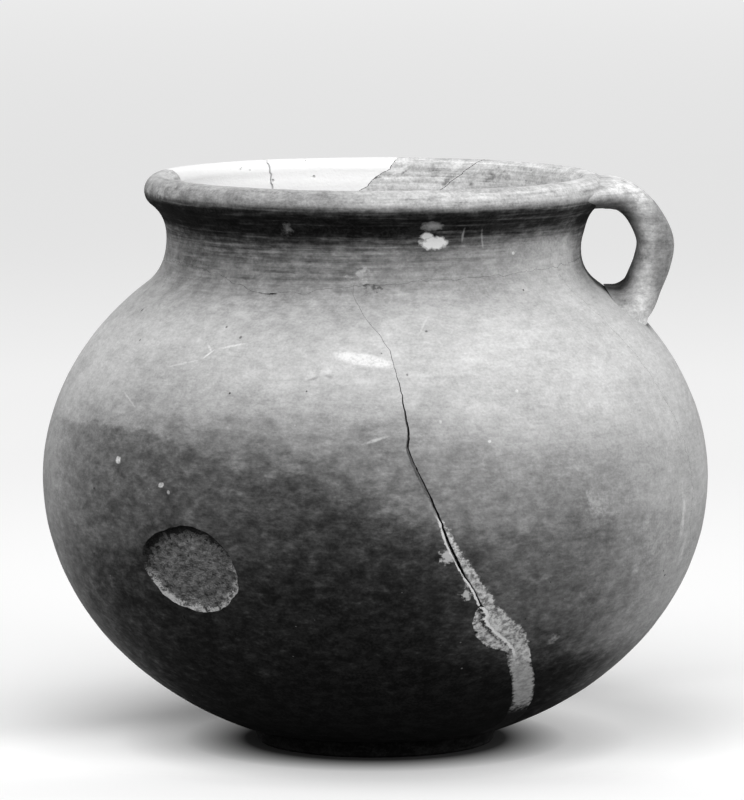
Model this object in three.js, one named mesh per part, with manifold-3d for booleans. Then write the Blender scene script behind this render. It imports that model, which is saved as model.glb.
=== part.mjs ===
// A one-handled cooking pot of wheel-thrown clay: a round belly on a low disc foot, a short neck, a rolled
// lip and one strap handle from lip to shoulder. It broke in use and was mended, so its thrown body is
// several sherds that meet along irregular breaks, with plaster where pieces of it are lost.
// Millimetres. The pot stands on z = 0, its axis is z, and the handle is on +x. Angles are in degrees,
// counted anticlockwise from the handle as seen from above, so -90 is the front.
import * as THREE from "three";
import { mergeVertices } from "three/addons/utils/BufferGeometryUtils.js";
import Module from "manifold-3d";

const wasm = await Module();
wasm.setup();

// Belly: an ellipse of revolution round its widest circle. The lower half would close just below the ground,
// so the foot cuts it off.
const bellyRadius = 100;
const bellyHeight = 80;
const bellySag = 2;
const shoulderRise = 80;
const wall = 4.6;
const floorThickness = 4.6;

// Disc foot.
const footRadius = 37.5;
const footTaper = 2;
const footHeight = 5.6;
const footEdge = 0.4;

// Neck and rolled lip. The shoulder turns up into the neck within neckFillet of it, and the lip's section is
// an ellipse that stands out over the neck.
const neckRadius = 62.7;
const neckFillet = 6.2;
const neckRise = 14;
const lipRise = 19;
const lipOverhang = 6.6;
const lipHalfWidth = 4.6;
const lipHalfHeight = 5;
const lipUndercut = -50;
// How far down the inside of the shoulder ends below the outside, and how far up each side of the neck, as a
// share of its height, the turn into the lip starts.
const insideDrop = 2;
const throatTurn = 0.65;
const mouthTurn = 0.6;

// Strap handle: its centre line leaves the lip, bends down and lands on the shoulder. Its ends widen, and
// their inner side swells into a fillet. A thumb hollow lies under it on the neck.
const strapThickness = 11.2;
const strapWidth = 20;
const strapRootWidth = 28;
const strapRootZone = 13;
const handleReach = 19.9;
const handleDrop = 5.9;
const handleRootDrop = 8;
const lipFillet = 5.5;
const lipSwell = 12;
const rootFillet = 10;
const rootSwell = 4.6;
// Points of the centre line: [out from its farthest reach, up from the lip's crest], and then
// [out from where it lands on the shoulder, up from there].
const strapBend = [[-9, -6.8], [-4.4, -10.4], [0, -20], [-0.8, -26.5]];
const strapFoot = [[2.2, 8], [-0.4, 2.2], [-5, -2], [-13, -7]];
const hollowDepth = 1.7;
const hollowSpread = 22;
const hollowHalfHeight = 13;
const hollowRise = 3.5;

// Breaks. joinGap is the glue line between two mended pieces, measured along the surface.
const joinGap = 0.3;
const seatGap = 0.3;
const baseBreakRadius = 46;
const baseBreakWaver = 2.6;

// Front crack: [angle, height as a share of the shoulder's, open width west of the line, width east of it].
const frontCrack = [
  [-95.7, 1.022, 0.18, 0.18],
  [-92.4, 0.976, 0.18, 0.18],
  [-89.4, 0.948, 0.2, 0.2],
  [-87.2, 0.916, 0.2, 0.2],
  [-86.1, 0.874, 0.2, 0.2],
  [-85.2, 0.83, 0.22, 0.22],
  [-84.6, 0.772, 0.35, 0.3],
  [-84.3, 0.742, 0.4, 0.35],
  [-84.7, 0.725, 0.35, 0.35],
  [-83.0, 0.671, 0.5, 0.5],
  [-81.4, 0.634, 0.6, 0.55],
  [-79.2, 0.573, 0.5, 0.45],
  [-77.9, 0.525, 0.55, 0.5],
  [-76.2, 0.488, 0.65, 0.6],
  [-74.7, 0.454, 0.6, 0.55],
  [-73.0, 0.425, 0.45, 0.4],
  [-71.4, 0.391, 0.35, 0.35],
  [-70.1, 0.375, 3.6, 1.2],
  [-67.8, 0.351, 7.6, 2.6],
  [-65.0, 0.321, 10.0, 3.7],
  [-62.6, 0.294, 9.3, 4.0],
  [-61.4, 0.28, 4.3, 4.1],
  [-59.4, 0.244, 4.0, 4.1],
  [-53.9, 0.177, 4.1, 4.2],
  [-48.0, 0.12, 4.0, 4.0],
  [-42.0, 0.076, 3.8, 3.6],
  [-41.0, 0, 3.8, 3.6],
];
const fillTop = 0.386;

// The other breaks down the wall: [angle, height as a share of the shoulder's]. Only the right one shows,
// near the pot's right edge.
const rightBreak = [
  [-33, 1.087], [-29, 0.928], [-24, 0.754], [-20, 0.58], [-21, 0.515],
  [-14.5, 0.413], [-11, 0.275], [-16, 0.159], [-12, 0],
];
const backBreak = [
  [74, 1.087], [70, 0.942], [76, 0.797], [71, 0.623], [64, 0.478], [69, 0.319], [60, 0.188], [64, 0],
];
const leftBreak = [
  [167, 1.087], [163, 0.928], [170, 0.768], [172, 0.609], [163, 0.449], [168, 0.29], [158, 0.159], [161, 0],
];

// Breaks up the neck and lip, seen on the inside of the far rim: [angle, height from the lip's crest as a
// share of the collar's].
const rimBreak = [[74, -0.939], [70.5, -0.303], [58, 0], [58, 0.273]];
const fillBreak = [[99, -0.939], [94.6, -0.303], [83, -0.03], [82, 0.273]];
const fillSeam = [[122, -0.939], [122.6, -0.333], [121.4, 0.273]];
const fillEnd = [[163, -0.939], [165, -0.394], [167, 0.273]];

// The break round the foot of the neck: [angle, height from the shoulder's end as a share of the neck's].
const neckBreak = [
  [-193, 0.5], [-150, 0.614], [-133, 0.421], [-123, 0.2], [-108, 0.214], [-101, 0.321], [-90, 0.393],
  [-62, 0.514], [-20, 0.6], [20, 0.571], [60, 0.386], [95, 0.571], [130, 0.3], [167, 0.5],
];

// Oval spall where a flake of the wall has come away.
const spallAngle = -122.9;
const spallHeight = 63.4;
const spallHalfWidth = 16.6;
const spallHalfHeight = 13.2;
const spallDepth = 2.6;

// Reach of the cutters past the wall inside, as a share of the belly's radius, because a wider belly has a
// flatter floor to cut through, then past the wall outside, and past the pot above and below.
const cutInsideShare = 0.16;
const cutOutside = 12;
const cutPast = 25;

// Smoothness of the round forms.
const turns = 56;
const bellySteps = 7;
const curveSteps = 3;
const lipSteps = 6;

// What follows from those sizes.
const bellyDrop = bellyHeight + bellySag;
const cutInside = cutInsideShare * bellyRadius;
const shoulderRadius = neckRadius + neckFillet;
const shoulderEnd = bellyHeight + shoulderRise * Math.sqrt(1 - (shoulderRadius / bellyRadius) ** 2);
const neckHeight = shoulderEnd + neckRise;
const potHeight = neckHeight + lipRise;
const lipRadius = neckRadius + lipOverhang;

const radians = THREE.MathUtils.degToRad;
const point = (r, z) => new THREE.Vector2(r, z);
const clay = new THREE.MeshStandardMaterial({ color: 0x9b9a97, roughness: 0.9, metalness: 0 });
const sootedClay = new THREE.MeshStandardMaterial({ color: 0x3c3b3a, roughness: 0.92, metalness: 0 });
const plaster = new THREE.MeshStandardMaterial({ color: 0xe4e2dc, roughness: 0.95, metalness: 0 });

// A closed geometry as a solid, and back again.
function solid(geometry) {
  const bare = new THREE.BufferGeometry();
  bare.setAttribute("position", geometry.getAttribute("position"));
  bare.setIndex(geometry.getIndex());
  const merged = mergeVertices(bare, 1e-4);
  return new wasm.Manifold(
    new wasm.Mesh({
      numProp: 3,
      vertProperties: merged.getAttribute("position").array,
      triVerts: new Uint32Array(merged.getIndex().array),
    }),
  );
}

function piece(name, shape, material) {
  const mesh = shape.getMesh();
  const geometry = new THREE.BufferGeometry();
  geometry.setAttribute("position", new THREE.BufferAttribute(mesh.vertProperties, 3));
  geometry.setIndex(new THREE.BufferAttribute(mesh.triVerts, 1));
  geometry.computeVertexNormals();
  const node = new THREE.Mesh(geometry, material);
  node.name = name;
  return node;
}

// An arc of an ellipse as points, from one angle to another.
function ellipseArc(r, z, halfWidth, halfHeight, from, to, steps) {
  const arc = [];
  for (let i = 0; i <= steps; i += 1) {
    const a = radians(THREE.MathUtils.lerp(from, to, i / steps));
    arc.push(point(r + halfWidth * Math.cos(a), z + halfHeight * Math.sin(a)));
  }
  return arc;
}

// The turn of a concave fillet between two points, bent towards a corner.
function fillet(start, corner, end) {
  return new THREE.QuadraticBezierCurve(start, corner, end).getPoints(curveSteps);
}

// Angle on an ellipse where it reaches a height, measured from its widest circle.
const ellipseAngle = (rise, halfHeight) => THREE.MathUtils.radToDeg(Math.asin(rise / halfHeight));

// Corner of the fillet from a shoulder ellipse to a vertical neck: where the tangent meets the neck.
function neckCorner(start, radius, halfHeight, neck) {
  const rise = start.y - bellyHeight;
  const slope = (radius * radius * rise) / (halfHeight * halfHeight * start.x);
  return point(neck, start.y + (start.x - neck) / slope);
}

const lipCentre = point(lipRadius - lipHalfWidth, potHeight - lipHalfHeight);

// The outside, from the foot's edge up to the lip's crest.
function outside() {
  const joint = ellipseAngle(footHeight - bellyHeight, bellyDrop);
  const end = ellipseAngle(shoulderEnd - bellyHeight, shoulderRise);
  const belly = [
    ...ellipseArc(0, bellyHeight, bellyRadius, bellyDrop, joint, 0, bellySteps),
    ...ellipseArc(0, bellyHeight, bellyRadius, shoulderRise, 0, end, bellySteps).slice(1),
  ];
  const shoulder = belly.at(-1);
  const corner = neckCorner(shoulder, bellyRadius, shoulderRise, neckRadius);
  const neck = fillet(shoulder, corner, point(neckRadius, neckHeight));
  const lip = ellipseArc(lipCentre.x, lipCentre.y, lipHalfWidth, lipHalfHeight, lipUndercut, 90, lipSteps);
  const turn = point(neckRadius, THREE.MathUtils.lerp(neckHeight, lip[0].y, throatTurn));
  const throat = fillet(neck.at(-1), turn, lip[0]);
  return [
    point(footRadius - footTaper, 0),
    point(footRadius, footHeight - footEdge),
    ...belly,
    ...neck.slice(1),
    ...throat.slice(1),
    ...lip.slice(1),
  ];
}

// The inside, from the lip's crest down to the middle of the floor.
function inside() {
  const radius = bellyRadius - wall;
  const rise = shoulderRise - wall;
  const drop = bellyHeight - floorThickness;
  const neck = neckRadius - wall;
  const end = ellipseAngle(shoulderEnd - insideDrop - bellyHeight, rise);
  const shoulder = ellipseArc(0, bellyHeight, radius, rise, end, 0, bellySteps);
  const lip = ellipseArc(lipCentre.x, lipCentre.y, lipHalfWidth, lipHalfHeight, 90, 180, 3);
  const neckPoint = point(neck, neckHeight);
  const turn = point(neck, THREE.MathUtils.lerp(neckHeight, lip.at(-1).y, mouthTurn));
  return [
    ...lip.slice(1),
    ...fillet(lip.at(-1), turn, neckPoint).slice(1),
    ...fillet(neckPoint, neckCorner(shoulder[0], radius, rise, neck), shoulder[0]).slice(1),
    ...shoulder.slice(1),
    ...ellipseArc(0, bellyHeight, radius, drop, 0, -90, bellySteps).slice(1, -1),
    point(0, floorThickness),
  ];
}

// Outline moved outwards by a clearance, along its own normals.
function grown(outline, by) {
  return outline.map((p, i) => {
    const before = outline[Math.max(i - 1, 0)];
    const after = outline[Math.min(i + 1, outline.length - 1)];
    const along = after.clone().sub(before).normalize();
    return point(p.x + along.y * by, p.y - along.x * by);
  });
}

const outerLine = outside();

// Radius of the outside at a height, for turning a width on the surface into an angle.
function radiusAt(height) {
  for (let i = 1; i < outerLine.length; i += 1) {
    const low = outerLine[i - 1];
    const high = outerLine[i];
    if (height <= high.y) {
      return THREE.MathUtils.mapLinear(height, low.y, high.y, low.x, high.x);
    }
  }
  return lipRadius;
}

// A thrown form, turned about z from its outline, with the thumb hollow pressed into its outside.
function thrown(outline) {
  const form = new THREE.LatheGeometry(outline, turns).rotateX(Math.PI / 2);
  const place = form.getAttribute("position");
  const skin = wall / 2;
  for (let i = 0; i < place.count; i += 1) {
    const [x, y, z] = [place.getX(i), place.getY(i), place.getZ(i)];
    const radius = Math.hypot(x, y);
    const off = (z - shoulderEnd - hollowRise) / hollowHalfHeight;
    const turn = THREE.MathUtils.radToDeg(Math.atan2(y, x)) / hollowSpread;
    if (Math.abs(off) < 1 && Math.abs(radius - radiusAt(z)) < skin) {
      const pressed = 1 - (hollowDepth * (1 - off * off) * Math.exp(-turn * turn)) / radius;
      place.setXY(i, x * pressed, y * pressed);
    }
  }
  return solid(form);
}

const vessel = thrown([point(0, 0), ...outerLine, ...inside()]);
const keepOut = thrown([point(0, -1), ...grown(outerLine, seatGap), point(0, potHeight + seatGap)]);

// Value in one column of a break's stations at a height, or of the neck break at an angle.
function along(stations, key, at, column) {
  const ordered = [...stations].sort((a, b) => a[key] - b[key]);
  if (at <= ordered[0][key]) {
    return ordered[0][column];
  }
  for (let i = 1; i < ordered.length; i += 1) {
    const low = ordered[i - 1];
    const high = ordered[i];
    if (at <= high[key]) {
      return THREE.MathUtils.mapLinear(at, low[key], high[key], low[column], high[column]);
    }
  }
  return ordered.at(-1)[column];
}

const neckBreakHeight = (angle) => {
  const first = neckBreak[0][0];
  const turned = THREE.MathUtils.euclideanModulo(angle - first, 360) + first;
  return shoulderEnd + neckRise * along(neckBreak, 0, turned, 1);
};

// A break's angle at a height, moved along the surface by a width in mm.
function edgeOf(stations, shift) {
  return (height) => {
    const slide = THREE.MathUtils.radToDeg(shift(height) / radiusAt(height));
    return along(stations, 1, height, 0) + slide;
  };
}

// Rows of heights for a cutter along a break: its stations, and one past each end of the pot.
function rowsOf(stations) {
  const heights = stations.map((station) => station[1]).sort((a, b) => a - b);
  return [-cutPast, ...heights, potHeight + cutPast];
}

// A thin upright blade through the wall between two edges, over rows of heights. Its sides run straight out
// from the axis, and are split into triangles alike, so that they stay the same width apart.
function blade(west, east, heights) {
  const corners = (height) => {
    const near = radiusAt(height) - cutInside;
    const far = radiusAt(height) + cutOutside;
    return [[near, west], [far, west], [far, east], [near, east]];
  };
  const positions = heights.flatMap((height) =>
    corners(height).flatMap(([radius, edge]) => {
      const a = radians(edge(height));
      return [radius * Math.cos(a), radius * Math.sin(a), height];
    }),
  );
  const faces = [];
  const quad = (a, b, c, d) => faces.push(a, b, c, a, c, d);
  for (let row = 0; row < heights.length - 1; row += 1) {
    const base = row * 4;
    quad(base, base + 1, base + 5, base + 4);
    quad(base + 1, base + 2, base + 6, base + 5);
    quad(base + 3, base + 7, base + 6, base + 2);
    quad(base + 3, base, base + 4, base + 7);
  }
  const top = (heights.length - 1) * 4;
  quad(0, 3, 2, 1);
  quad(top, top + 1, top + 2, top + 3);
  const geometry = new THREE.BufferGeometry();
  geometry.setAttribute("position", new THREE.Float32BufferAttribute(positions, 3));
  geometry.setIndex(faces);
  return solid(geometry);
}

// Everything above the break round the foot of the neck, as a thick ring.
function collar(clearance) {
  const near = neckRadius - cutInside;
  const far = lipRadius + cutOutside;
  const top = potHeight + cutPast;
  const ring = new THREE.LatheGeometry(
    [point(near, 0), point(far, 0), point(far, top), point(near, top), point(near, 0)],
    turns,
  ).rotateX(Math.PI / 2);
  const place = ring.getAttribute("position");
  for (let i = 0; i < place.count; i += 1) {
    if (place.getZ(i) < top / 2) {
      const angle = THREE.MathUtils.radToDeg(Math.atan2(place.getY(i), place.getX(i)));
      place.setZ(i, neckBreakHeight(angle) + clearance);
    }
  }
  return solid(ring);
}

// The irregular round break between the foot's sherd and the wall, as an upright plug.
function basePlug(clearance) {
  const plug = new THREE.CylinderGeometry(1, 1, 2 * cutPast, turns).rotateX(Math.PI / 2);
  const place = plug.getAttribute("position");
  for (let i = 0; i < place.count; i += 1) {
    const reach = Math.hypot(place.getX(i), place.getY(i));
    const a = Math.atan2(place.getY(i), place.getX(i));
    const waver = baseBreakWaver * (0.6 * Math.sin(3 * a + 0.8) + 0.4 * Math.sin(7 * a + 2));
    const radius = reach * (baseBreakRadius + waver + clearance);
    place.setXYZ(i, radius * Math.cos(a), radius * Math.sin(a), place.getZ(i));
  }
  return solid(plug);
}

// A flat-bottomed hollow square to the wall, where the flake has gone.
function spallCutter() {
  const reach = radiusAt(spallHeight);
  const rise = (spallHeight - bellyHeight) / (bellyDrop * bellyDrop);
  const across = reach / (bellyRadius * bellyRadius);
  const tilt = Math.atan2(rise, across);
  const tall = 20;
  const flare = 1.3;
  const floorShare = 0.93;
  const cutter = new THREE.CylinderGeometry(flare, floorShare, tall, 28);
  cutter.scale(spallHalfHeight, 1, spallHalfWidth);
  cutter.rotateZ(-Math.PI / 2);
  cutter.translate(tall / 2 - spallDepth, 0, 0);
  cutter.rotateY(-tilt);
  cutter.translate(reach, 0, spallHeight);
  cutter.rotateZ(radians(spallAngle));
  return solid(cutter);
}

// Centre line of the strap, from inside the lip round to inside the shoulder.
function strapLine() {
  const far = lipRadius + handleReach - strapThickness / 2;
  const rootHeight = shoulderEnd - handleRootDrop;
  const root = radiusAt(rootHeight);
  const level = potHeight - handleDrop;
  const centres = [
    [lipCentre.x - 1.5 * lipHalfWidth, level],
    [lipRadius + 1, level],
    ...strapBend.map(([out, up]) => [far + out, potHeight + up]),
    ...strapFoot.map(([out, up]) => [root + out, rootHeight + up]),
  ];
  return new THREE.CatmullRomCurve3(centres.map(([x, z]) => new THREE.Vector3(x, 0, z)));
}

// The strap: a squarish oval carried along its centre line in rings.
function strap() {
  const line = strapLine();
  const steps = 24;
  const sides = 20;
  const squareness = 0.8;
  const softened = (value) => Math.sign(value) * Math.abs(value) ** squareness;
  const positions = [];
  for (let i = 0; i <= steps; i += 1) {
    const at = line.getPointAt(i / steps);
    const forward = line.getTangentAt(i / steps);
    const inward = new THREE.Vector3(forward.z, 0, -forward.x);
    const near = 1 - THREE.MathUtils.smoothstep(at.x - radiusAt(at.z), 0, strapRootZone);
    const halfWidth = THREE.MathUtils.lerp(strapWidth, strapRootWidth, near) / 2;
    const under = inward.clone().multiplyScalar(strapThickness / 2).add(at);
    const [fillet, limit] = i < steps / 2 ? [lipFillet, lipSwell] : [rootFillet, rootSwell];
    const closeness = Math.max(0, fillet - under.x + radiusAt(under.z));
    const swell = Math.min(limit, (closeness * closeness) / (2 * lipFillet));
    for (let k = 0; k < sides; k += 1) {
      const a = (2 * Math.PI * k) / sides;
      const across = softened(Math.cos(a)) * halfWidth;
      const inner = Math.max(0, Math.sin(a)) ** 3 * swell;
      const offset = inward.clone().multiplyScalar((softened(Math.sin(a)) * strapThickness) / 2 + inner);
      positions.push(at.x + offset.x, across, at.z + offset.z);
    }
  }
  const faces = [];
  for (let i = 0; i < steps; i += 1) {
    for (let k = 0; k < sides; k += 1) {
      const [a, b] = [i * sides + k, i * sides + ((k + 1) % sides)];
      faces.push(a, b + sides, b, a, a + sides, b + sides);
    }
  }
  const last = steps * sides;
  for (let k = 1; k < sides - 1; k += 1) {
    faces.push(0, k, k + 1);
    faces.push(last, last + k + 1, last + k);
  }
  const form = new THREE.BufferGeometry();
  form.setAttribute("position", new THREE.Float32BufferAttribute(positions, 3));
  form.setIndex(faces);
  return solid(form).subtract(keepOut);
}

// Blades along the breaks. The front crack gapes, and its lower end is wide enough to hold a fill.
const hairline = (stations) => blade(
  edgeOf(stations, () => -joinGap / 2),
  edgeOf(stations, () => joinGap / 2),
  rowsOf(stations),
);
const collarRise = neckRise + lipRise;
const onWall = (stations) => stations.map(([angle, share, ...open]) => [angle, share * shoulderEnd, ...open]);
const onCollar = (stations) => stations.map(([angle, share]) => [angle, potHeight + share * collarRise]);
const crackLine = onWall(frontCrack);
const crackShift = (column, sign, clearance) => (height) => (
  sign * (along(crackLine, 1, height, column) - clearance)
);
const fillHeight = fillTop * shoulderEnd;
const crackRows = [...rowsOf(crackLine), fillHeight].sort((a, b) => a - b);
const crack = (clearance, rows) => blade(
  edgeOf(crackLine, crackShift(2, -1, clearance)),
  edgeOf(crackLine, crackShift(3, 1, clearance)),
  rows,
);

// Cut along its breaks, a stock falls into loose sherds, and each is found by the angle of its middle.
function sherds(stock, blades, middles) {
  const loose = blades.reduce((left, cutter) => left.subtract(cutter), stock).decompose();
  const angleOf = (shape) => {
    const box = shape.boundingBox();
    return THREE.MathUtils.radToDeg(Math.atan2(box.min[1] + box.max[1], box.min[0] + box.max[0]));
  };
  const away = (shape, angle) => (
    Math.abs(THREE.MathUtils.euclideanModulo(angleOf(shape) - angle + 180, 360) - 180)
  );
  const nearer = (angle) => (best, next) => (away(next, angle) < away(best, angle) ? next : best);
  return middles.map((angle) => loose.reduce(nearer(angle)));
}

const wallStock = vessel.subtract(basePlug(joinGap)).subtract(collar(-joinGap / 2));
const rimStock = vessel.intersect(collar(joinGap / 2));
const wallBlades = [
  crack(0, crackRows),
  ...[rightBreak, backBreak, leftBreak].map(onWall).map(hairline),
];
const rimBlades = [rimBreak, fillBreak, fillSeam, fillEnd].map(onCollar).map(hairline);
const wallMiddles = [-138, -50, 25, 120];
const rimMiddles = [-62, 80, 107, 143];
const [wallFrontLeft, wallFrontRight, wallRight, wallBack] = sherds(wallStock, wallBlades, wallMiddles);
const [rimFront, rimBack, rimFillBack, rimFillLeft] = sherds(rimStock, rimBlades, rimMiddles);
const fillRows = crackRows.filter((height) => height <= fillHeight);
const crackFill = wallStock.intersect(crack(seatGap, fillRows));

const pot = new THREE.Group();
pot.add(
  piece("foot_sherd", vessel.intersect(basePlug(0)), sootedClay),
  piece("wall_sherd_front_left", wallFrontLeft.subtract(spallCutter()), clay),
  piece("wall_sherd_front_right", wallFrontRight, clay),
  piece("wall_sherd_right", wallRight, clay),
  piece("wall_sherd_back", wallBack, clay),
  piece("rim_sherd_front", rimFront, clay),
  piece("rim_sherd_back", rimBack, clay),
  piece("rim_fill_back", rimFillBack, plaster),
  piece("rim_fill_left", rimFillLeft, plaster),
  piece("crack_fill", crackFill, plaster),
  piece("handle", strap(), clay),
);

export default pot;
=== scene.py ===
"""A mended one-handled cooking pot of wheel-thrown clay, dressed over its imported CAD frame."""
import math

import bmesh
import bpy
from bpy.props import FloatProperty, FloatVectorProperty, IntProperty, PointerProperty
from bpy.types import Operator, Panel, PropertyGroup
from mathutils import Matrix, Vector, noise


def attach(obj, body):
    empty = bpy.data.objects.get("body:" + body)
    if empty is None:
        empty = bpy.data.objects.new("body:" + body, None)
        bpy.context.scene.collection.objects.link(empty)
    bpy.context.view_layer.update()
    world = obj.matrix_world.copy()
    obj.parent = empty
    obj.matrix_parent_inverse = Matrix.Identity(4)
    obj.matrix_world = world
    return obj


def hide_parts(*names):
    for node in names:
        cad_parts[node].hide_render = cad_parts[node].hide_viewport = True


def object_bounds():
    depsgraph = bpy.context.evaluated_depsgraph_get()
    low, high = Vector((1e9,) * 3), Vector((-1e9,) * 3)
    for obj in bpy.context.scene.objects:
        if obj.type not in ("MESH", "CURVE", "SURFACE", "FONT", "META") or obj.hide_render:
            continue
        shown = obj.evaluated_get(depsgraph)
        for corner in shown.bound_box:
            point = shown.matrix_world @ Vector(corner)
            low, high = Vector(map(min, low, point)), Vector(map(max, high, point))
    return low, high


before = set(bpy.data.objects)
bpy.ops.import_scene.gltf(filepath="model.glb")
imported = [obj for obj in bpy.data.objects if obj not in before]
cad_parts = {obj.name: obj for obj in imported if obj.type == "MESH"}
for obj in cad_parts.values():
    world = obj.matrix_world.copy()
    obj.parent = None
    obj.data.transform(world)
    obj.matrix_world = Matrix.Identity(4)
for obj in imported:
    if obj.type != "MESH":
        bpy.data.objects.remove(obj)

bl_info = {
    "name": "Mended Cooking Pot",
    "version": (1, 0, 0),
    "blender": (4, 5, 0),
    "location": "3D View > Sidebar > Pot",
    "description": "Builds a one-handled clay cooking pot, mended from sherds with plaster fills",
    "category": "Add Mesh",
}

MM = 0.001
CAD_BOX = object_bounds()
POT_HEIGHT = CAD_BOX[1].z
BELLY_RADIUS = CAD_BOX[1].y

# In the tables, angles are in degrees round the pot's axis, anticlockwise from the handle as seen from above,
# and heights are in millimetres above the foot's underside.

# Front crack: (angle, height, open width west of the line, open width east of it).
FRONT_CRACK = [
    (-95.7, 141.0, 0.03, 0.03), (-92.4, 134.7, 0.03, 0.03), (-89.4, 130.8, 0.04, 0.04),
    (-87.2, 126.4, 0.06, 0.06), (-86.1, 120.6, 0.07, 0.07), (-85.2, 114.5, 0.14, 0.12),
    (-84.6, 106.5, 0.34, 0.3), (-84.3, 102.4, 0.4, 0.36), (-84.7, 100.0, 0.45, 0.42),
    (-83.0, 92.6, 0.64, 0.6), (-81.4, 87.5, 0.6, 0.55), (-79.2, 79.1, 0.3, 0.26),
    (-77.9, 72.4, 0.52, 0.48), (-76.2, 67.3, 0.6, 0.55),
    (-74.7, 62.7, 0.3, 0.3), (-73.0, 58.7, 0.12, 0.1), (-71.4, 54.0, 0.32, 0.3), (-70.1, 51.7, 3.6, 1.2),
    (-67.8, 48.4, 7.6, 2.6), (-65.0, 44.3, 10.0, 3.7), (-62.6, 40.5, 9.3, 4.0), (-61.4, 38.6, 4.3, 4.1),
    (-59.4, 33.6, 4.0, 4.1), (-53.9, 24.4, 4.1, 4.2), (-48.0, 16.5, 4.0, 4.0), (-42.0, 10.5, 3.8, 3.6),
    (-41.0, 0.0, 3.8, 3.6),
]
FILL_TOP = 53.3
CRACK_RAGGEDNESS = 0.35

# Other breaks down the wall: (angle, height).
RIGHT_BREAK = [
    (-33, 150), (-29, 128), (-24, 104), (-20, 80), (-21, 71), (-14.5, 57), (-11, 38), (-16, 22), (-12, 0)]
BACK_BREAK = [(74, 150), (70, 130), (76, 110), (71, 86), (64, 66), (69, 44), (60, 26), (64, 0)]
LEFT_BREAK = [(167, 150), (163, 128), (170, 106), (172, 84), (163, 62), (168, 40), (158, 22), (161, 0)]

# Breaks up the neck and lip: (angle, height).
RIM_BREAK = [(74, 140), (70.5, 161), (58, 171), (58, 180)]
FILL_BREAK = [(99, 140), (94.6, 161), (83, 170), (82, 180)]
FILL_SEAM = [(122, 140), (122.6, 160), (121.4, 180)]
FILL_END = [(163, 140), (165, 158), (167, 180)]

# The break round the foot of the neck: (angle, height).
NECK_BREAK = [
    (-193, 145.0), (-150, 146.6), (-133, 143.9), (-123, 140.8), (-108, 141.0), (-101, 142.5), (-90, 143.5),
    (-62, 145.2), (-20, 146.4), (20, 146.0), (60, 143.4), (95, 146.0), (130, 142.2), (167, 145.0),
]


class PotSizes(PropertyGroup):
    """Sizes of the thrown body, its breaks and its handle"""
    belly_radius: FloatProperty(
        name="Belly Radius", description="Radius at the widest circle of the belly",
        default=BELLY_RADIUS, subtype="DISTANCE", unit="LENGTH")
    belly_height: FloatProperty(
        name="Belly Height", description="Height of the widest circle above the table",
        default=0.080, subtype="DISTANCE", unit="LENGTH")
    belly_drop: FloatProperty(
        name="Belly Drop", description="Half height of the ellipse below the widest circle",
        default=0.082, subtype="DISTANCE", unit="LENGTH")
    shoulder_rise: FloatProperty(
        name="Shoulder Rise", description="Half height of the ellipse above the widest circle",
        default=0.080, subtype="DISTANCE", unit="LENGTH")
    wall: FloatProperty(
        name="Wall", description="Thickness of the thrown wall",
        default=0.0046, subtype="DISTANCE", unit="LENGTH")
    foot_radius: FloatProperty(
        name="Foot Radius", description="Radius of the low disc foot",
        default=0.0375, subtype="DISTANCE", unit="LENGTH")
    foot_height: FloatProperty(
        name="Foot Height", description="Height of the low disc foot",
        default=0.0056, subtype="DISTANCE", unit="LENGTH")
    neck_radius: FloatProperty(
        name="Neck Radius", description="Outer radius of the neck at its narrowest",
        default=0.0627, subtype="DISTANCE", unit="LENGTH")
    neck_fillet: FloatProperty(
        name="Neck Fillet", description="How far out from the neck the shoulder starts to turn up",
        default=0.0062, subtype="DISTANCE", unit="LENGTH")
    neck_rise: FloatProperty(
        name="Neck Rise", description="Height of the neck above the end of the shoulder",
        default=0.014, subtype="DISTANCE", unit="LENGTH")
    lip_overhang: FloatProperty(
        name="Lip Overhang", description="How far the rolled lip stands out over the neck",
        default=0.0066, subtype="DISTANCE", unit="LENGTH")
    lip_half_width: FloatProperty(
        name="Lip Half Width", description="Half width of the rolled lip's section",
        default=0.0046, subtype="DISTANCE", unit="LENGTH")
    lip_half_height: FloatProperty(
        name="Lip Half Height", description="Half height of the rolled lip's section",
        default=0.005, subtype="DISTANCE", unit="LENGTH")
    break_gap: FloatProperty(
        name="Break Gap", description="Width of a mended break between two sherds",
        default=0.00006, subtype="DISTANCE", unit="LENGTH")
    seam_gap: FloatProperty(
        name="Seam Gap", description="Width of the open seam between the two fills of the lip",
        default=0.0008, subtype="DISTANCE", unit="LENGTH")
    strap_thickness: FloatProperty(
        name="Strap Thickness", description="Thickness of the strap handle",
        default=0.0112, subtype="DISTANCE", unit="LENGTH")
    strap_crown: FloatProperty(
        name="Strap Crown", description="Thickness of the strap where it springs from the lip",
        default=0.0088, subtype="DISTANCE", unit="LENGTH")
    strap_width: FloatProperty(
        name="Strap Width", description="Width of the strap handle at its middle",
        default=0.020, subtype="DISTANCE", unit="LENGTH")
    strap_root_width: FloatProperty(
        name="Strap Root Width", description="Width of the strap where it lands on the lip and the shoulder",
        default=0.028, subtype="DISTANCE", unit="LENGTH")
    turns: IntProperty(
        name="Turns", description="Steps in which the thrown body is spun", default=400, min=48)
    fineness: FloatProperty(
        name="Fineness", description="Step along the thrown outline",
        default=0.0016, subtype="DISTANCE", unit="LENGTH")


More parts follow.
